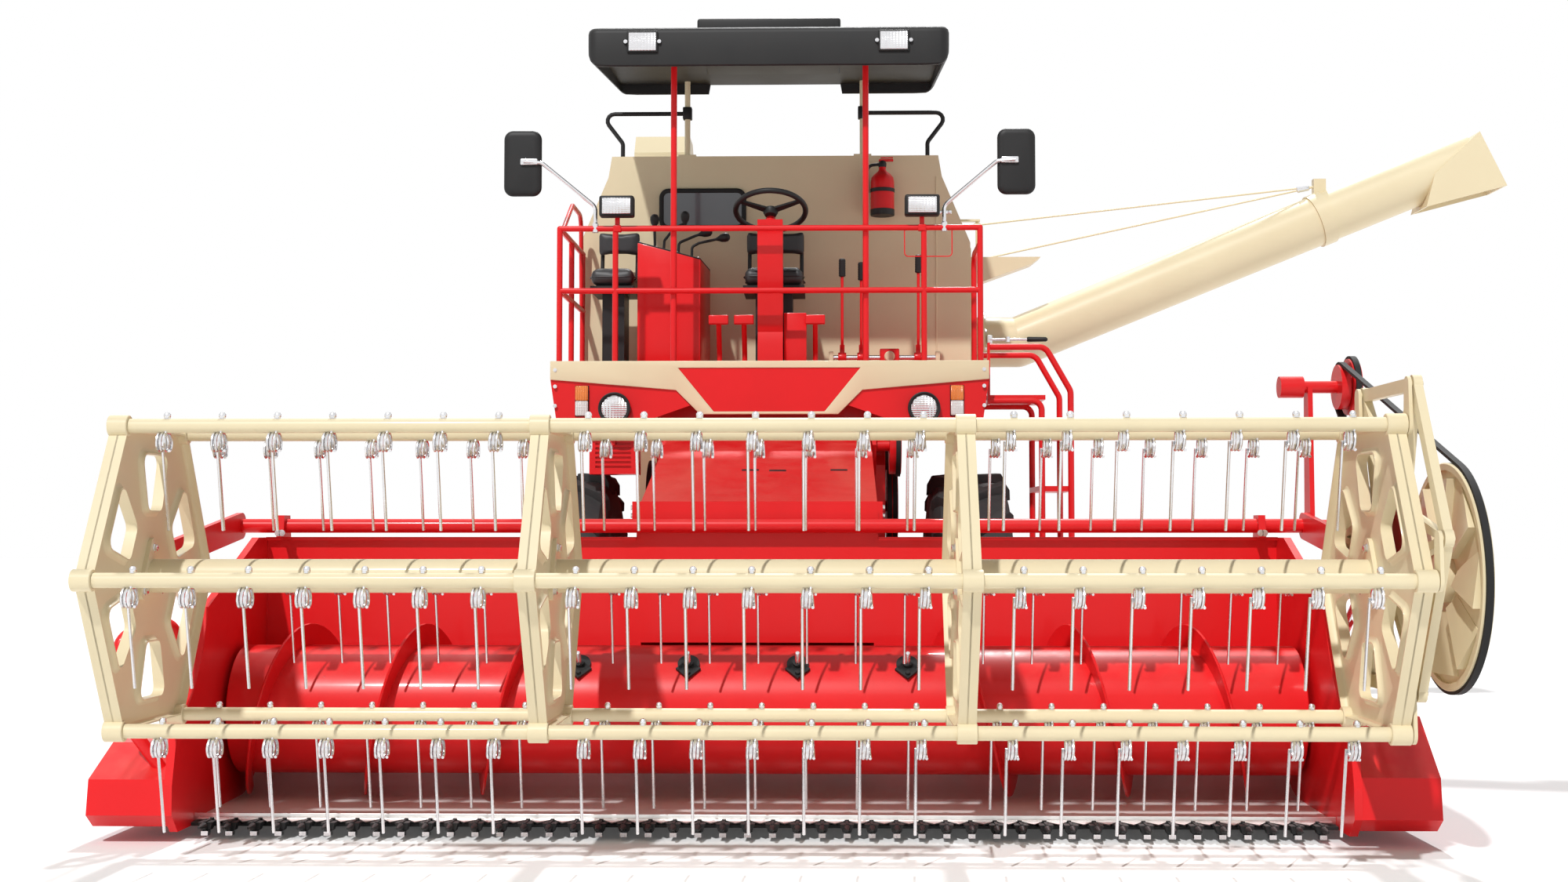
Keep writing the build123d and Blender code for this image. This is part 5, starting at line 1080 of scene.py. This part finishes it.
def lug_pair(data):
    """The two lugs of one pitch, a left and a right one, half a pitch apart."""
    mesh = bmesh.new()
    pitch = math.tau / lug_pairs
    length = rubber_half * 1.12
    side_view = [(-length / 2, crown - 0.03), (-length / 2, tread_radius - 0.005),
                 (length * 0.36, tread_radius - 0.006), (length / 2 - 0.004, tread_radius - 0.050),
                 (length / 2, crown - 0.070)]
    for hand in (1, -1):
        lug = bmesh.new()
        sheet_cut(lug, [(hand * x, -0.022, z) for x, z in side_view], (0, 1, 0), 0.044)
        bmesh.ops.recalc_face_normals(lug, faces=lug.faces)
        top_edges = [edge for edge in lug.edges if min(vertex.co.z for vertex in edge.verts) > crown - 0.012]
        bmesh.ops.bevel(lug, geom=top_edges, offset=0.006, segments=2, affect="EDGES", profile=0.5)
        place = Matrix.Rotation(pitch * 0.25 * hand, 4, "X")
        place @= Matrix.Translation((hand * rubber_half * 0.48, 0, 0))
        place @= Matrix.Rotation(math.radians(hand * 38), 4, "Z")
        bmesh.ops.transform(lug, matrix=place, verts=lug.verts)
        gather(mesh, lug)
    mesh.to_mesh(data)
    mesh.free()


rear_side = [(-0.090, 0.206), (-0.096, 0.222), (-0.118, 0.30), (-0.1195, 0.345), (-0.114, 0.395),
             (-0.106, 0.415)]
ribs = []
for x in (-0.066, 0, 0.066):
    ribs += [(x + along, radius) for along, radius in mirrored(((-0.026, 0.434), (-0.0225, 0.448),
                                                                (-0.019, 0.4499)))]
rear_outline = rear_side + ribs + [(-x, radius) for x, radius in rear_side[::-1]]
front_track, front_radius, rear_track, rear_y, rear_radius = 1.050, tread_radius, 0.930, 3.550, 0.450
for side, hand in ((1, "left"), (-1, "right")):
    carcass(hand, side, "front", front_track, 0, front_radius, front_outline)
    pair = bpy.data.meshes.new(f"front_rubber_{hand}_lug")
    lug_pair(pair)
    tread = around.bake(f"front_rubber_{hand}_tread", pair, tyre, f"front_wheel_{hand}", Copies=lug_pairs)
    flip = Matrix.Rotation(math.pi, 4, "Z") if side < 0 else Matrix.Identity(4)
    tread.data.transform(Matrix.Translation(at(side * front_track, 0, front_radius)) @ flip)
    tread.data.update()
    carcass(hand, side, "rear", rear_track, rear_y, rear_radius, rear_outline)
    bolts(f"front_wheel_nuts_{hand}", bolt_ring(side * 1.094, 0, front_radius, 0.128, 8, side),
          f"front_wheel_{hand}", 0.030)
    bolts(f"rear_wheel_nuts_{hand}", bolt_ring(side * 0.951, rear_y, rear_radius, 0.047, 5, side),
          f"rear_wheel_{hand}", 0.018)
print("tyres done")

# %% [markdown]
# ## Header: fingers, guards and bolts
#
# The auger's fingers come out through diamond plates, and each guard of the
# cutter bar is a black casting with a ground steel nose. Both are one small
# shape on a row of points again.

# %% Auger fingers and their plates
auger_y, auger_z, drum, finger_pitch = -2.460, 0.430, 0.260, 0.437
finger_plate = Recipe("finger_plate", Wide=0.044, Tip=0.050)
finger_plate.on_points(finger_plate.join(
    finger_plate.rod(28, finger_plate.size("Wide"), 0.012, (0, 0.010, 0)),
    finger_plate.rod(4, finger_plate.size("Tip"), 0.012, (0, -0.016, 0)),
    finger_plate.rod(20, 0.020, 0.026, (0, 0.006, 0.006)),
    finger_plate.rod(6, 0.010, 0.014, (0, -0.042, 0.010))))
plates, rods = [], bmesh.new()
for shift_row, turn in ((0, math.radians(135)), (0.5, math.radians(315))):
    out = Vector((0, math.cos(turn), math.sin(turn)))
    for step in range(4):
        axis = at(header_x - 0.085 + (step + shift_row - 1.5) * finger_pitch, auger_y, auger_z)
        plates.append((axis + out * (drum + 0.008), out))
        turned(rods, axis + out * (drum - 0.01), out,
               [(0, 0.0105), (0.094, 0.0105), (0.099, 0.008), (0.100, 0.003)], 14)
finger_plate.bake("finger_plates", points_facing(plates), black_plastic, "auger")
piece("finger_rods", rods, plated, "auger")

# %% Cutter bar: bar, guards and knife
knife_y, bar_z, guard_count, cut_half = -3.040, 0.062, 46, 2.167
guard_black = black_stuff("black_casting", 0.02, 0.5, 200, 0.0008)
guard = Recipe("guard_casting", Top=0.037, Foot=0.024, Horn=0.058)
guard.on_points(guard.join(
    guard.cone(4, guard.size("Top"), guard.size("Foot"), 0.030, (0, -0.045, -0.028), (0, 0, math.pi / 4)),
    guard.cone(10, 0.005, 0.013, guard.size("Horn"), (0, -0.088, -0.008), (math.pi / 2, 0, 0)),
    guard.cube((0.011, 0.066, 0.036), (0, -0.048, -0.011)),
    guard.cube((0.052, 0.050, 0.010), (0, -0.002, -0.006)),
    guard.rod(6, 0.0085, 0.010, (0, 0.008, 0.003))))
nose = Recipe("guard_nose", Width=0.026)
nose.on_points(nose.cube(nose.spot(nose.size("Width"), 0.034, 0.016), (0, -0.062, -0.038)))
blade = Recipe("knife_section", Reach=0.050)
blade.on_points(blade.join(
    blade.rod(3, blade.size("Reach"), 0.004, (0, -0.012, 0.003), (0, 0, -math.pi / 2)),
    *[blade.rod(8, 0.004, 0.006, (x, 0.016, 0.006)) for x in (-0.018, 0.018)]))
guard_pitch = (2 * cut_half - 0.06) / guard_count
row = [(at(header_x - cut_half + 0.030 + guard_pitch * (step + 0.5), knife_y, bar_z), z_way)
       for step in range(guard_count)]
halfway = [(place + x_way * guard_pitch / 2, way) for place, way in row[:-1]]
guard.bake("guard_castings", points_facing(row), guard_black, "header")
nose.bake("guard_noses", points_facing(row), plated, "header")
blade.bake("knife_sections", points_facing(halfway), worn_steel, "header")
bar, knife = bmesh.new(), bmesh.new()
bar_rows = (
    # mesh, half its length, ys and zs from the knife
    (bar, cut_half, (-0.006, 0.040), (-0.022, -0.008), 0.003),
    (knife, cut_half, (0.032, 0.040), (-0.008, 0.022), 0.002),
    (knife, cut_half - 0.02, (0.008, 0.028), (0.001, 0.008), 0.002),
)
for mesh, half, ys, zs, edge in bar_rows:
    slab(mesh, header_x, half, [knife_y + y for y in ys], [bar_z + z for z in zs], edge)
piece("cutter_beam", bar, guard_black, "header", ["cutter_bar"])
piece("knife_back", knife, worn_steel, "header")

# %% Bolts along the header and the feeder
rows = []
side_bolts = ((-2.40, 0.62), (-2.52, 0.62), (-2.58, 0.43), (-2.34, 0.43), (-2.40, 0.24), (-2.52, 0.24),
              (-2.12, 0.95), (-2.12, 0.75), (-2.12, 0.55))
for side in (1, -1):
    rows += [(at(header_x + side * (cut_half + 0.0305), y, z), (side, 0, 0)) for y, z in side_bolts]
    rows += [(at(side * 0.540, -2.047, z), (side, 0, 0)) for z in (1.225, 1.26)]
    rows += [(at(header_x + side * (cut_half - 0.080) + ear, -2.200, 1.150), (0, -1, 0))
             for ear in (-0.008, 0.008)]
bolts("header_bolts", rows, "header", 0.020)
# The dark plates on the feeder's top are painted shade: they stand for the dark inside its vent slots, in the
# blackened steel finish.
slot_shade = bmesh.new()
slope = Matrix.Rotation(math.atan2(0.435, 1.692), 3, "X")
for x, y in ((-0.064, -1.30), (0.066, -1.31), (0.355, -1.30)):
    z = 1.240 + (y + 2.092) * 0.257
    slab(slot_shade, x, 0.040, (y - 0.012, y + 0.012), (z - 0.001, z + 0.0035), 0.001, slope)
piece("feeder_slots", slot_shade, dark_steel_and_slot_shade, "header")
print("header", len(rows), "bolts")

# %% [markdown]
# ## Tank and unloader fittings
#
# A folded seam, a latch on the front sheet, the toggle that locks the unloader
# and the two turnbuckles that set its stays. All are thin and bought in.

# %% Seam, latch and toggle
latch, seam = bmesh.new(), bmesh.new()
tank_y = 0.460
slab(seam, 0.917, 0.004, (tank_y - 0.004, tank_y + 0.001), (2.020, 3.165), 0.001)
slab(latch, 0.970, 0.035, (tank_y - 0.014, tank_y), (2.952, 2.972), 0.003)
latch_pin = [(-0.02, 0.008), (0.006, 0.008), (0.008, 0.005)]
for x in (0.950, 0.990):
    turned(latch, at(x, tank_y - 0.020, 2.962), (0, -1, 0), latch_pin, 12)
piece("tank_latch", latch, plated, "machine")
piece("tank_seam", seam, cream, "machine")
toggle, grip = bmesh.new(), bmesh.new()
tube(toggle, [at(1.225, 0.590, 2.250), at(1.455, 0.585, 2.250)], 0.008)
slab(toggle, 1.228, 0.015, (0.583, 0.612), (2.225, 2.275), 0.005)
turned(toggle, at(1.330, 0.590, 2.235), z_way, [(0, 0.016), (0.030, 0.016)], 16)
turned(grip, at(1.440, 0.5855, 2.250), x_way,
       [(0, 0.011), (0.006, 0.015), (0.110, 0.013), (0.118, 0.006)], 16)
piece("unloader_toggle", toggle, plated, "unloader")
piece("toggle_grip", grip, black_plastic, "unloader")
unloader_y, unloader_z, unloader_rise = 0.760, 2.250, math.radians(22)
bolts("unloader_flange_bolts", bolt_ring(1.202, unloader_y, unloader_z, 0.160, 10, 1, 0.5), "unloader", 0.020)
screws = bmesh.new()
clamp_x, clamp_z = 1.400 + 1.9 * math.cos(unloader_rise), unloader_z + 1.9 * math.sin(unloader_rise)
lug_end = at(clamp_x - 0.010, unloader_y, clamp_z + 0.195)
for height in (2.760, 2.970):
    way = (at(1.189, 0.967, height) - lug_end).normalized()
    turned(screws, lug_end + way * 0.050, way,
           [(0, 0.006), (0.004, 0.013), (0.070, 0.013), (0.074, 0.006)], 10)
piece("stay_turnbuckles", screws, plated, "unloader")
print("fittings done")

# %% [markdown]
# ## Platform trim
#
# Round feet under the stanchions, a raised grab rail, the wire holder at the
# rail and the bolts in the feet. They are thin rods and small plates, bent with
# the same helpers.

# %% Grab rail, wire holder and feet
trim, wires = bmesh.new(), bmesh.new()
floor_z = 2.000
stanchions, foot_bolts = (-1.09, -0.80, 0.80, 1.09), ((0.024, 0.018), (-0.024, 0.018), (0, -0.028))
for x in stanchions:
    turned(trim, at(x, rail_y, floor_z), z_way, [(0, 0.038), (0.008, 0.038), (0.010, 0.020)], 20)
grab_rail = ((-0.40, rail_z), (-0.02, 2.93), (0.34, 2.93), (0.38, rail_z - 0.30))
holder = ((0.70, 2.712), (0.70, 2.575), (0.945, 2.575), (0.945, 2.712))
tube(trim, [at(stanchions[0], y, z) for y, z in grab_rail], 0.0125, 0.09)
tube(wires, [at(x, rail_y, z) for x, z in holder], 0.003, 0.02, 8)
piece("platform_trim", trim, red, "machine")
piece("wire_holder", wires, red, "machine")
feet = [(at(x + dx, rail_y + dy, floor_z + 0.008), z_way) for x in stanchions for dx, dy in foot_bolts]
feet += [(at(side * 0.5 + dx, rail_y + 0.0313 + dy, floor_z + 0.0105), z_way)
         for side in (1, -1) for dx in (-0.038, 0.038) for dy in (-0.028, 0.028)]
bolts("stanchion_bolts", feet, "machine", 0.012)
print("trim done")

# %% [markdown]
# ## Rounded sheet edges
#
# Folded sheet is never knife-sharp: each fold has a radius that catches a thin
# line of light. The fascia band is made again here from its own solid, with
# every sharp edge rounded by a few millimetres.

# %% The fascia band with soft edges
band, fold_radius = bmesh.new(), 0.003
band.from_mesh(nodes["fascia_band"].data)
band.transform(nodes["fascia_band"].matrix_world)
bmesh.ops.remove_doubles(band, verts=band.verts, dist=0.00002)
bmesh.ops.dissolve_limit(band, angle_limit=math.radians(0.5), verts=band.verts, edges=band.edges)
folds = [edge for edge in band.edges if len(edge.link_faces) == 2
         and edge.calc_face_angle(0) > math.radians(32) and edge.calc_length() > 2.5 * fold_radius]
bmesh.ops.bevel(band, geom=folds, offset=fold_radius, segments=2, profile=0.5, affect="EDGES",
                clamp_overlap=True)
soft = piece("fascia_band_soft", band, cream, "machine", ["fascia_band"])
print("fascia band", len(soft.data.polygons), "faces")

# %% [markdown]
# ## Console, column and pedals
#
# The console is a folded box whose lid slopes towards the driver, and the column
# is a box with two kinks. Both are skinned between a few loops, so each fold is
# a real edge. The pedals and hand levers are rods with pads, made from a table.

# %% Sheet boxes


def sheet_box(mesh, plan, lows, tops, edge=0.005):
    """A box on a plan, with a low and a top height at each corner, its edges rounded."""
    part = bmesh.new()
    skin(part, [[at(x, y, z) for (x, y), z in zip(plan, heights)] for heights in (lows, tops)])
    bmesh.ops.bevel(part, geom=part.edges[:], offset=edge, segments=2, affect="EDGES", profile=0.5)
    gather(mesh, part)


console_plan = ((-0.720, -0.150), (-0.381, -0.150), (-0.350, 0.190), (-0.720, 0.190))
pedal_plan = ((0.070, -0.300), (0.190, -0.300), (0.190, -0.170), (0.070, -0.170))
floor_corners, lid_z = (floor_z,) * 4, (2.704, 2.612, 2.596, 2.700)
column_side = ((-0.110, 2.786), (-0.110, 2.584), (-0.076, 2.520), (-0.076, 2.252), (-0.050, 2.200),
               (-0.066, 2.130), (-0.066, floor_z), (0.090, floor_z), (0.050, 2.300), (0.030, 2.786))
controls = bmesh.new()
sheet_box(controls, console_plan, floor_corners, lid_z)
sheet_box(controls, pedal_plan, floor_corners, (2.306,) * 4)
sheet_cut(controls, [at(-0.066, -0.290 + y, z) for y, z in column_side], x_way, 0.132)
turned(controls, at(0, -0.300, 2.760), wheel_up, [(0, 0.030), (0.050, 0.026), (0.084, 0.020)], 20)
for x in (-0.274, -0.140, 0.236):
    tube(controls, [at(x, -0.200, 2.005), at(x, -0.210, 2.100), at(x, -0.300, 2.262)], 0.0140, 0.05, 12)
    turned(controls, at(x, -0.200, floor_z), z_way, [(0, 0.030), (0.012, 0.030), (0.022, 0.019)], 20)
    slab(controls, x, 0.052, (-0.332, -0.304), (2.242, 2.292), 0.006)
for x, grip_z in hand_levers:
    tube(controls, [at(x, 0.060, 2.110), at(x, 0.030, 2.200), at(x, 0.010, grip_z)], 0.0085, 0.05, 12)
    turned(controls, at(x - 0.022, 0.060, 2.100), x_way, [(0, 0.026), (0.004, 0.028), (0.040, 0.028),
                                                          (0.044, 0.026)], 20)
    slab(controls, x, 0.013, (0.042, 0.078), (2.096, 2.170), 0.004)
slab(controls, 0.6375, 0.0525, (0.020, 0.110), (2.058, 2.146), 0.006)
piece("control_boxes", controls, red, "machine", ["control_console"])

# %% Lid, shaft and brackets
lid, shaft, brackets = (bmesh.new() for _ in range(3))
lid_plan = [(x * 0.995 - 0.002, y) for x, y in console_plan]
sheet_box(lid, lid_plan, [z - 0.001 for z in lid_z], [z + 0.006 for z in lid_z], 0.0015)
piece("console_lid", lid, black_plastic, "machine")
turned(shaft, at(0.320, 0.060, 2.100), x_way, [(0, 0.013), (0.590, 0.013)], 20)
for share in (0.04, 0.30, 0.62, 0.96):
    spot = at(-0.720 + 0.339 * share, -0.142, 2.710 - 0.092 * share)
    turned(shaft, spot, z_way, [(0, 0.006), (0.003, 0.006), (0.005, 0.003)], 12)
piece("lever_shaft", shaft, plated, "machine")
for x in (0.320, 0.900):
    slab(brackets, x, 0.012, (0.036, 0.084), (floor_z, 2.132), 0.004)
    slab(brackets, x, 0.032, (0.028, 0.092), (floor_z, floor_z + 0.008), 0.003)
turned(brackets, at(0.637, 0.022, 2.102), (0, -1, 0), [(0, 0.029), (0.012, 0.029), (0.018, 0.024)], 24)
piece("lever_brackets", brackets, cream, "machine")
print("console and pedals done")

# %% [markdown]
# ## The canopy as a moulding
#
# The canopy is pressed as one tray: its turned-down lip has round lower corners,
# a notch at the back, and no sharp edge anywhere. Here it is skinned from
# rounded rectangles, one loop for each fold, so that the light runs softly over
# its front.

# %% Canopy tray, hump and handrails
canopy_half, canopy_front, canopy_rear = 0.9225, -0.720, 0.610
lip_corner = 0.075


def canopy_loop(inset, surface, rise):
    """A rounded rectangle inside the canopy's outline, each point on a surface or above it."""
    wide, front, rear = canopy_half - inset, canopy_front + inset, canopy_rear - inset
    corner = max(0.05 - inset * 0.5, 0.012)
    along = [-wide + corner, -0.80, -0.60, -0.385, -0.375, 0, 0.375, 0.385, 0.60, 0.80, wide - corner]
    points = [(x, front) for x in along]
    for right, back, start in ((1, -1, -90), (1, 1, 0), (-1, 1, 90), (-1, -1, 180)):
        if start == 90:
            points += [(x, rear) for x in along[::-1][1:-1]]
        hub_x, hub_y = right * (wide - corner), rear - corner if back > 0 else front + corner
        turns = [math.radians(start + 18 * step) for step in range(6)]
        points += [(hub_x + corner * math.cos(turn), hub_y + corner * math.sin(turn)) for turn in turns]
    return [at(x, y, surface(x, y) + rise) for x, y in points]


def canopy_share(y):
    """How far back on the canopy, from 0 to 1."""
    return (y - canopy_front) / (canopy_rear - canopy_front)


def roof_top(x, y):
    return 3.724 + 0.095 * canopy_share(y)


def ceiling(x, y):
    return 3.652 + 0.092 * canopy_share(y)


def lip_bottom(x, y):
    """The lip's lower edge: round at its ends, with a notch behind."""
    over = max(0.0, abs(x) - (canopy_half - lip_corner))
    rise = lip_corner - math.sqrt(max(lip_corner ** 2 - over ** 2, 0))
    notch = 0.055 if y > canopy_rear - 0.06 and abs(x) < 0.38 else 0
    return 3.520 + 0.160 * canopy_share(y) + rise + notch


tray = bmesh.new()
folds = ((0.030, ceiling, -0.010), (0.028, lip_bottom, 0.006), (0.020, lip_bottom, 0), (0.008, lip_bottom, 0),
         (0.001, lip_bottom, 0.008), (0, lip_bottom, 0.03), (0, roof_top, -0.032), (0.004, roof_top, -0.016),
         (0.016, roof_top, -0.004), (0.034, roof_top, 0))
skin(tray, [canopy_loop(*fold) for fold in folds])
slab(tray, 0, 0.370, (-0.600, 0.180), (3.690, 3.799), 0.014)
for side in (1, -1):
    handrail = ((0.520, 3.540), (1.000, 3.540), (0.870, 3.370), (0.870, 3.290))
    tube(tray, [at(side * x, 0.480, z) for x, z in handrail], 0.0122, 0.04, 14)
piece("canopy_tray", tray, canopy_black, "machine", ["canopy"])
print("canopy", len(folds), "folds")

# %% [markdown]
# ## Reel plates
#
# A reel plate is a pressed sheet: a hexagon with a folded rim, six windows with
# turned-out edges and a bolted flange in the middle. The flat web comes from a
# filled curve, because a curve makes its own holes. The folded edges are one
# section swept round an outline, which keeps their bends round.

# %% Places on the reel
reel_low, reel_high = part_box("reel_frame")
reel_y, reel_z = (reel_low.y + reel_high.y) / 2, (reel_low.z + reel_high.z) / 2
hexagon, sheet_half, rim_half, corner_radius, wheel_x = 0.600, 0.003, 0.031, 0.037, 2.420


def on_reel(x, out, turn, aside=0.0):
    """A point of the reel: its distance from the axis at a turn in degrees, and how far aside."""
    turn = math.radians(turn)
    return Vector((x, reel_y + out * math.cos(turn) - aside * math.sin(turn),
                   reel_z + out * math.sin(turn) + aside * math.cos(turn)))


def round_outline(points, bend):
    """A closed outline with round corners."""
    start = (points[-1] + points[0]) / 2
    return rounded_run([start, *points, start], bend, 4)[:-1]


def swept(mesh, outline, section):
    """A section of (outward, along x) pairs swept round a closed outline."""
    middle = sum(outline, Vector()) / len(outline)
    loops = []
    for before, point, after in zip(outline[-1:] + outline[:-1], outline, outline[1:] + outline[:1]):
        out = (after - before).cross(x_way).normalized()
        out = out if out.dot(point - middle) > 0 else -out
        loops.append([point + out * way + x_way * along for way, along in section])
    skin(mesh, loops, closed=True)


def window(x, turn):
    """One window of a plate, wider at its outer side."""
    corners = ((0.228, -0.070), (0.228, 0.070), (0.436, 0.132), (0.436, -0.132))
    return round_outline([on_reel(x, out, turn, aside) for out, aside in corners], 0.036)


def both_sides(half_section):
    """A whole section of (outward, along x) pairs from its half on one side of the sheet."""
    return list(half_section) + [(way, -along) for way, along in half_section[::-1]]


# %% The web, cut from a filled curve
web_outline = []
for corner_turn in range(0, 360, 60):
    corner = on_reel(0, hexagon, corner_turn)
    for turn in [math.radians(corner_turn + 60 - 20 * arc) for arc in range(7)]:
        web_outline.append(corner - Vector((0, math.cos(turn), math.sin(turn))) * rim_half)
sheet = bpy.data.curves.new("plate_web", "CURVE")
sheet.dimensions, sheet.fill_mode, sheet.extrude = "2D", "BOTH", sheet_half
for outline in [web_outline, *[window(0, 30 + 60 * step) for step in range(6)]]:
    line = sheet.splines.new("POLY")
    line.points.add(len(outline) - 1)
    line.use_cyclic_u = True
    for spot, point in zip(line.points, outline):
        spot.co = (point.y, point.z, 0, 1)
web_holder = shown("plate_web", sheet)
web_mesh = baked(web_holder)
bpy.data.objects.remove(web_holder)
upright = Matrix(((0, 0, 1, 0), (1, 0, 0, 0), (0, 1, 0, 0), (0, 0, 0, 1)))
print("web faces", len(web_mesh.polygons))

# %% Four plates on their tube
turned_edge = both_sides(((0.018, 0.003), (0.008, 0.006), (0.003, 0.012), (0.001, 0.020), (-0.005, 0.020)))
rim_section = both_sides(((0, 0.031), (-0.006, 0.031), (-0.006, 0.013), (-0.009, 0.006), (-0.016, 0.003)))
socket = ((-0.034, 0.0262), (-0.034, 0.035), (-0.032, corner_radius), (0.032, corner_radius), (0.034, 0.035),
          (0.034, 0.0262))
bolt_side = ((0, 0.017), (0.003, 0.017), (0.0031, 0.013), (0.012, 0.013), (0.014, 0.009))
rim_out, rim_reach = hexagon * math.cos(math.radians(30)), hexagon / 2 - 0.034
reel_mesh, reel_bolts = bmesh.new(), bmesh.new()
for x in [header_mid + place for place in centred(4, section_pitch)]:
    web = web_mesh.copy()
    web.transform(Matrix.Translation((x, 0, 0)) @ upright)
    reel_mesh.from_mesh(web)
    bpy.data.meshes.remove(web)
    for turn in range(30, 390, 60):
        swept(reel_mesh, window(x, turn), turned_edge)
        skin(reel_mesh, [[on_reel(x + along, rim_out + out, turn, reach) for out, along in rim_section]
                         for reach in (-rim_reach, rim_reach)])
        turned(reel_mesh, on_reel(x, hexagon, turn - 30), x_way, socket, 24, closed=True)
    thirds = (90, 210, 330)
    flange = round_outline([on_reel(x - 0.018, 0.165, turn) for turn in thirds], 0.030)
    sheet_cut(reel_mesh, flange, x_way, 0.036)
    for side in (1, -1):
        for turn in thirds:
            turned(reel_bolts, on_reel(x + side * 0.017, 0.100, turn), x_way * side, bolt_side, 6)
tube_length, shaft_length = 3 * section_pitch, reel_high.x - reel_low.x
turned_parts = (
    # x where it starts, its outline, its sides
    (header_mid - tube_length / 2,
     ((0, 0.058), (0.002, 0.060), (tube_length - 0.002, 0.060), (tube_length, 0.058)), 40),
    (reel_low.x, ((0, 0.024), (0.003, 0.027), (shaft_length - 0.003, 0.027), (shaft_length, 0.024)), 24),
    (header_mid + wheel_x, ((0.012, 0.376), (0.022, 0.376)), 96),
    (header_mid + wheel_x, ((-0.020, 0.086), (-0.016, 0.090), (0.040, 0.090)), 40),
)
for x, outline, sides in turned_parts:
    turned(reel_mesh, (x, reel_y, reel_z), x_way, outline, sides)
piece("reel_bolts", reel_bolts, plated, "reel")

# %% Belt wheel with its louvres
groove = [(0, 0.374), (0, 0.396), (0.004, 0.400), (0.036, 0.400), (0.040, 0.396), (0.040, 0.374)]
turned(reel_mesh, (header_mid + wheel_x, reel_y, reel_z), x_way, groove, 96, closed=True)
louvre = ((0.125, -14, 0.002), (0.125, 14, 0.030), (0.356, 16, 0.030), (0.356, -16, 0.002))
for turn in range(0, 360, 45):
    skin(reel_mesh, [[on_reel(header_mid + wheel_x + 0.014, out, turn + swing) for out, swing, _ in louvre],
                     [on_reel(header_mid + wheel_x + 0.012 - rise, out, turn + swing)
                      for out, swing, rise in louvre]])
piece("reel_sheets", reel_mesh, cream, "reel", ["reel_frame"])
bpy.data.meshes.remove(web_mesh)
print("reel plates done")

# %% [markdown]
# ## Intake auger
#
# The auger draws the crop to the middle, so its two flights have opposite hands.
# A flight is a ribbon that climbs round the drum at a fixed pitch: a rule with
# two numbers. Its thin section is placed step by step along that spiral and the
# sections are skinned, with a round outer edge.

# %% Drum and two flights
auger_low, auger_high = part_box("auger")
auger_mesh = bmesh.new()
drum_half, flight_top, flight_pitch, steps_a_turn = 2.145, 0.350, 0.478, 40
drum_side = [(0, drum - 0.004), (0.004, drum), (2 * drum_half - 0.004, drum), (2 * drum_half, drum - 0.004)]
turned(auger_mesh, at(header_x - drum_half, auger_y, auger_z), x_way, drum_side, 96)
axle = at(0, auger_y, auger_z)
auger_shaft = [(0, 0.030), (auger_high.x - auger_low.x, 0.030)]
turned(auger_mesh, (auger_low.x, axle.y, axle.z), x_way, auger_shaft, 32)
ribbon = ((drum - 0.005, -0.006), (flight_top - 0.003, -0.005), (flight_top, 0), (flight_top - 0.003, 0.005),
          (drum - 0.005, 0.006))
for side, first_x in ((-1, -2.070), (1, 2.003)):
    loops = []
    for turns in [step / steps_a_turn for step in range(-2, 108)]:
        swing = math.tau * turns
        loops.append([at(first_x - side * flight_pitch * turns + along, auger_y - out * math.sin(swing),
                         auger_z - out * math.cos(swing)) for out, along in ribbon])
    skin(auger_mesh, loops)
piece("auger_drum", auger_mesh, red, "auger", ["auger"])
print("auger done")
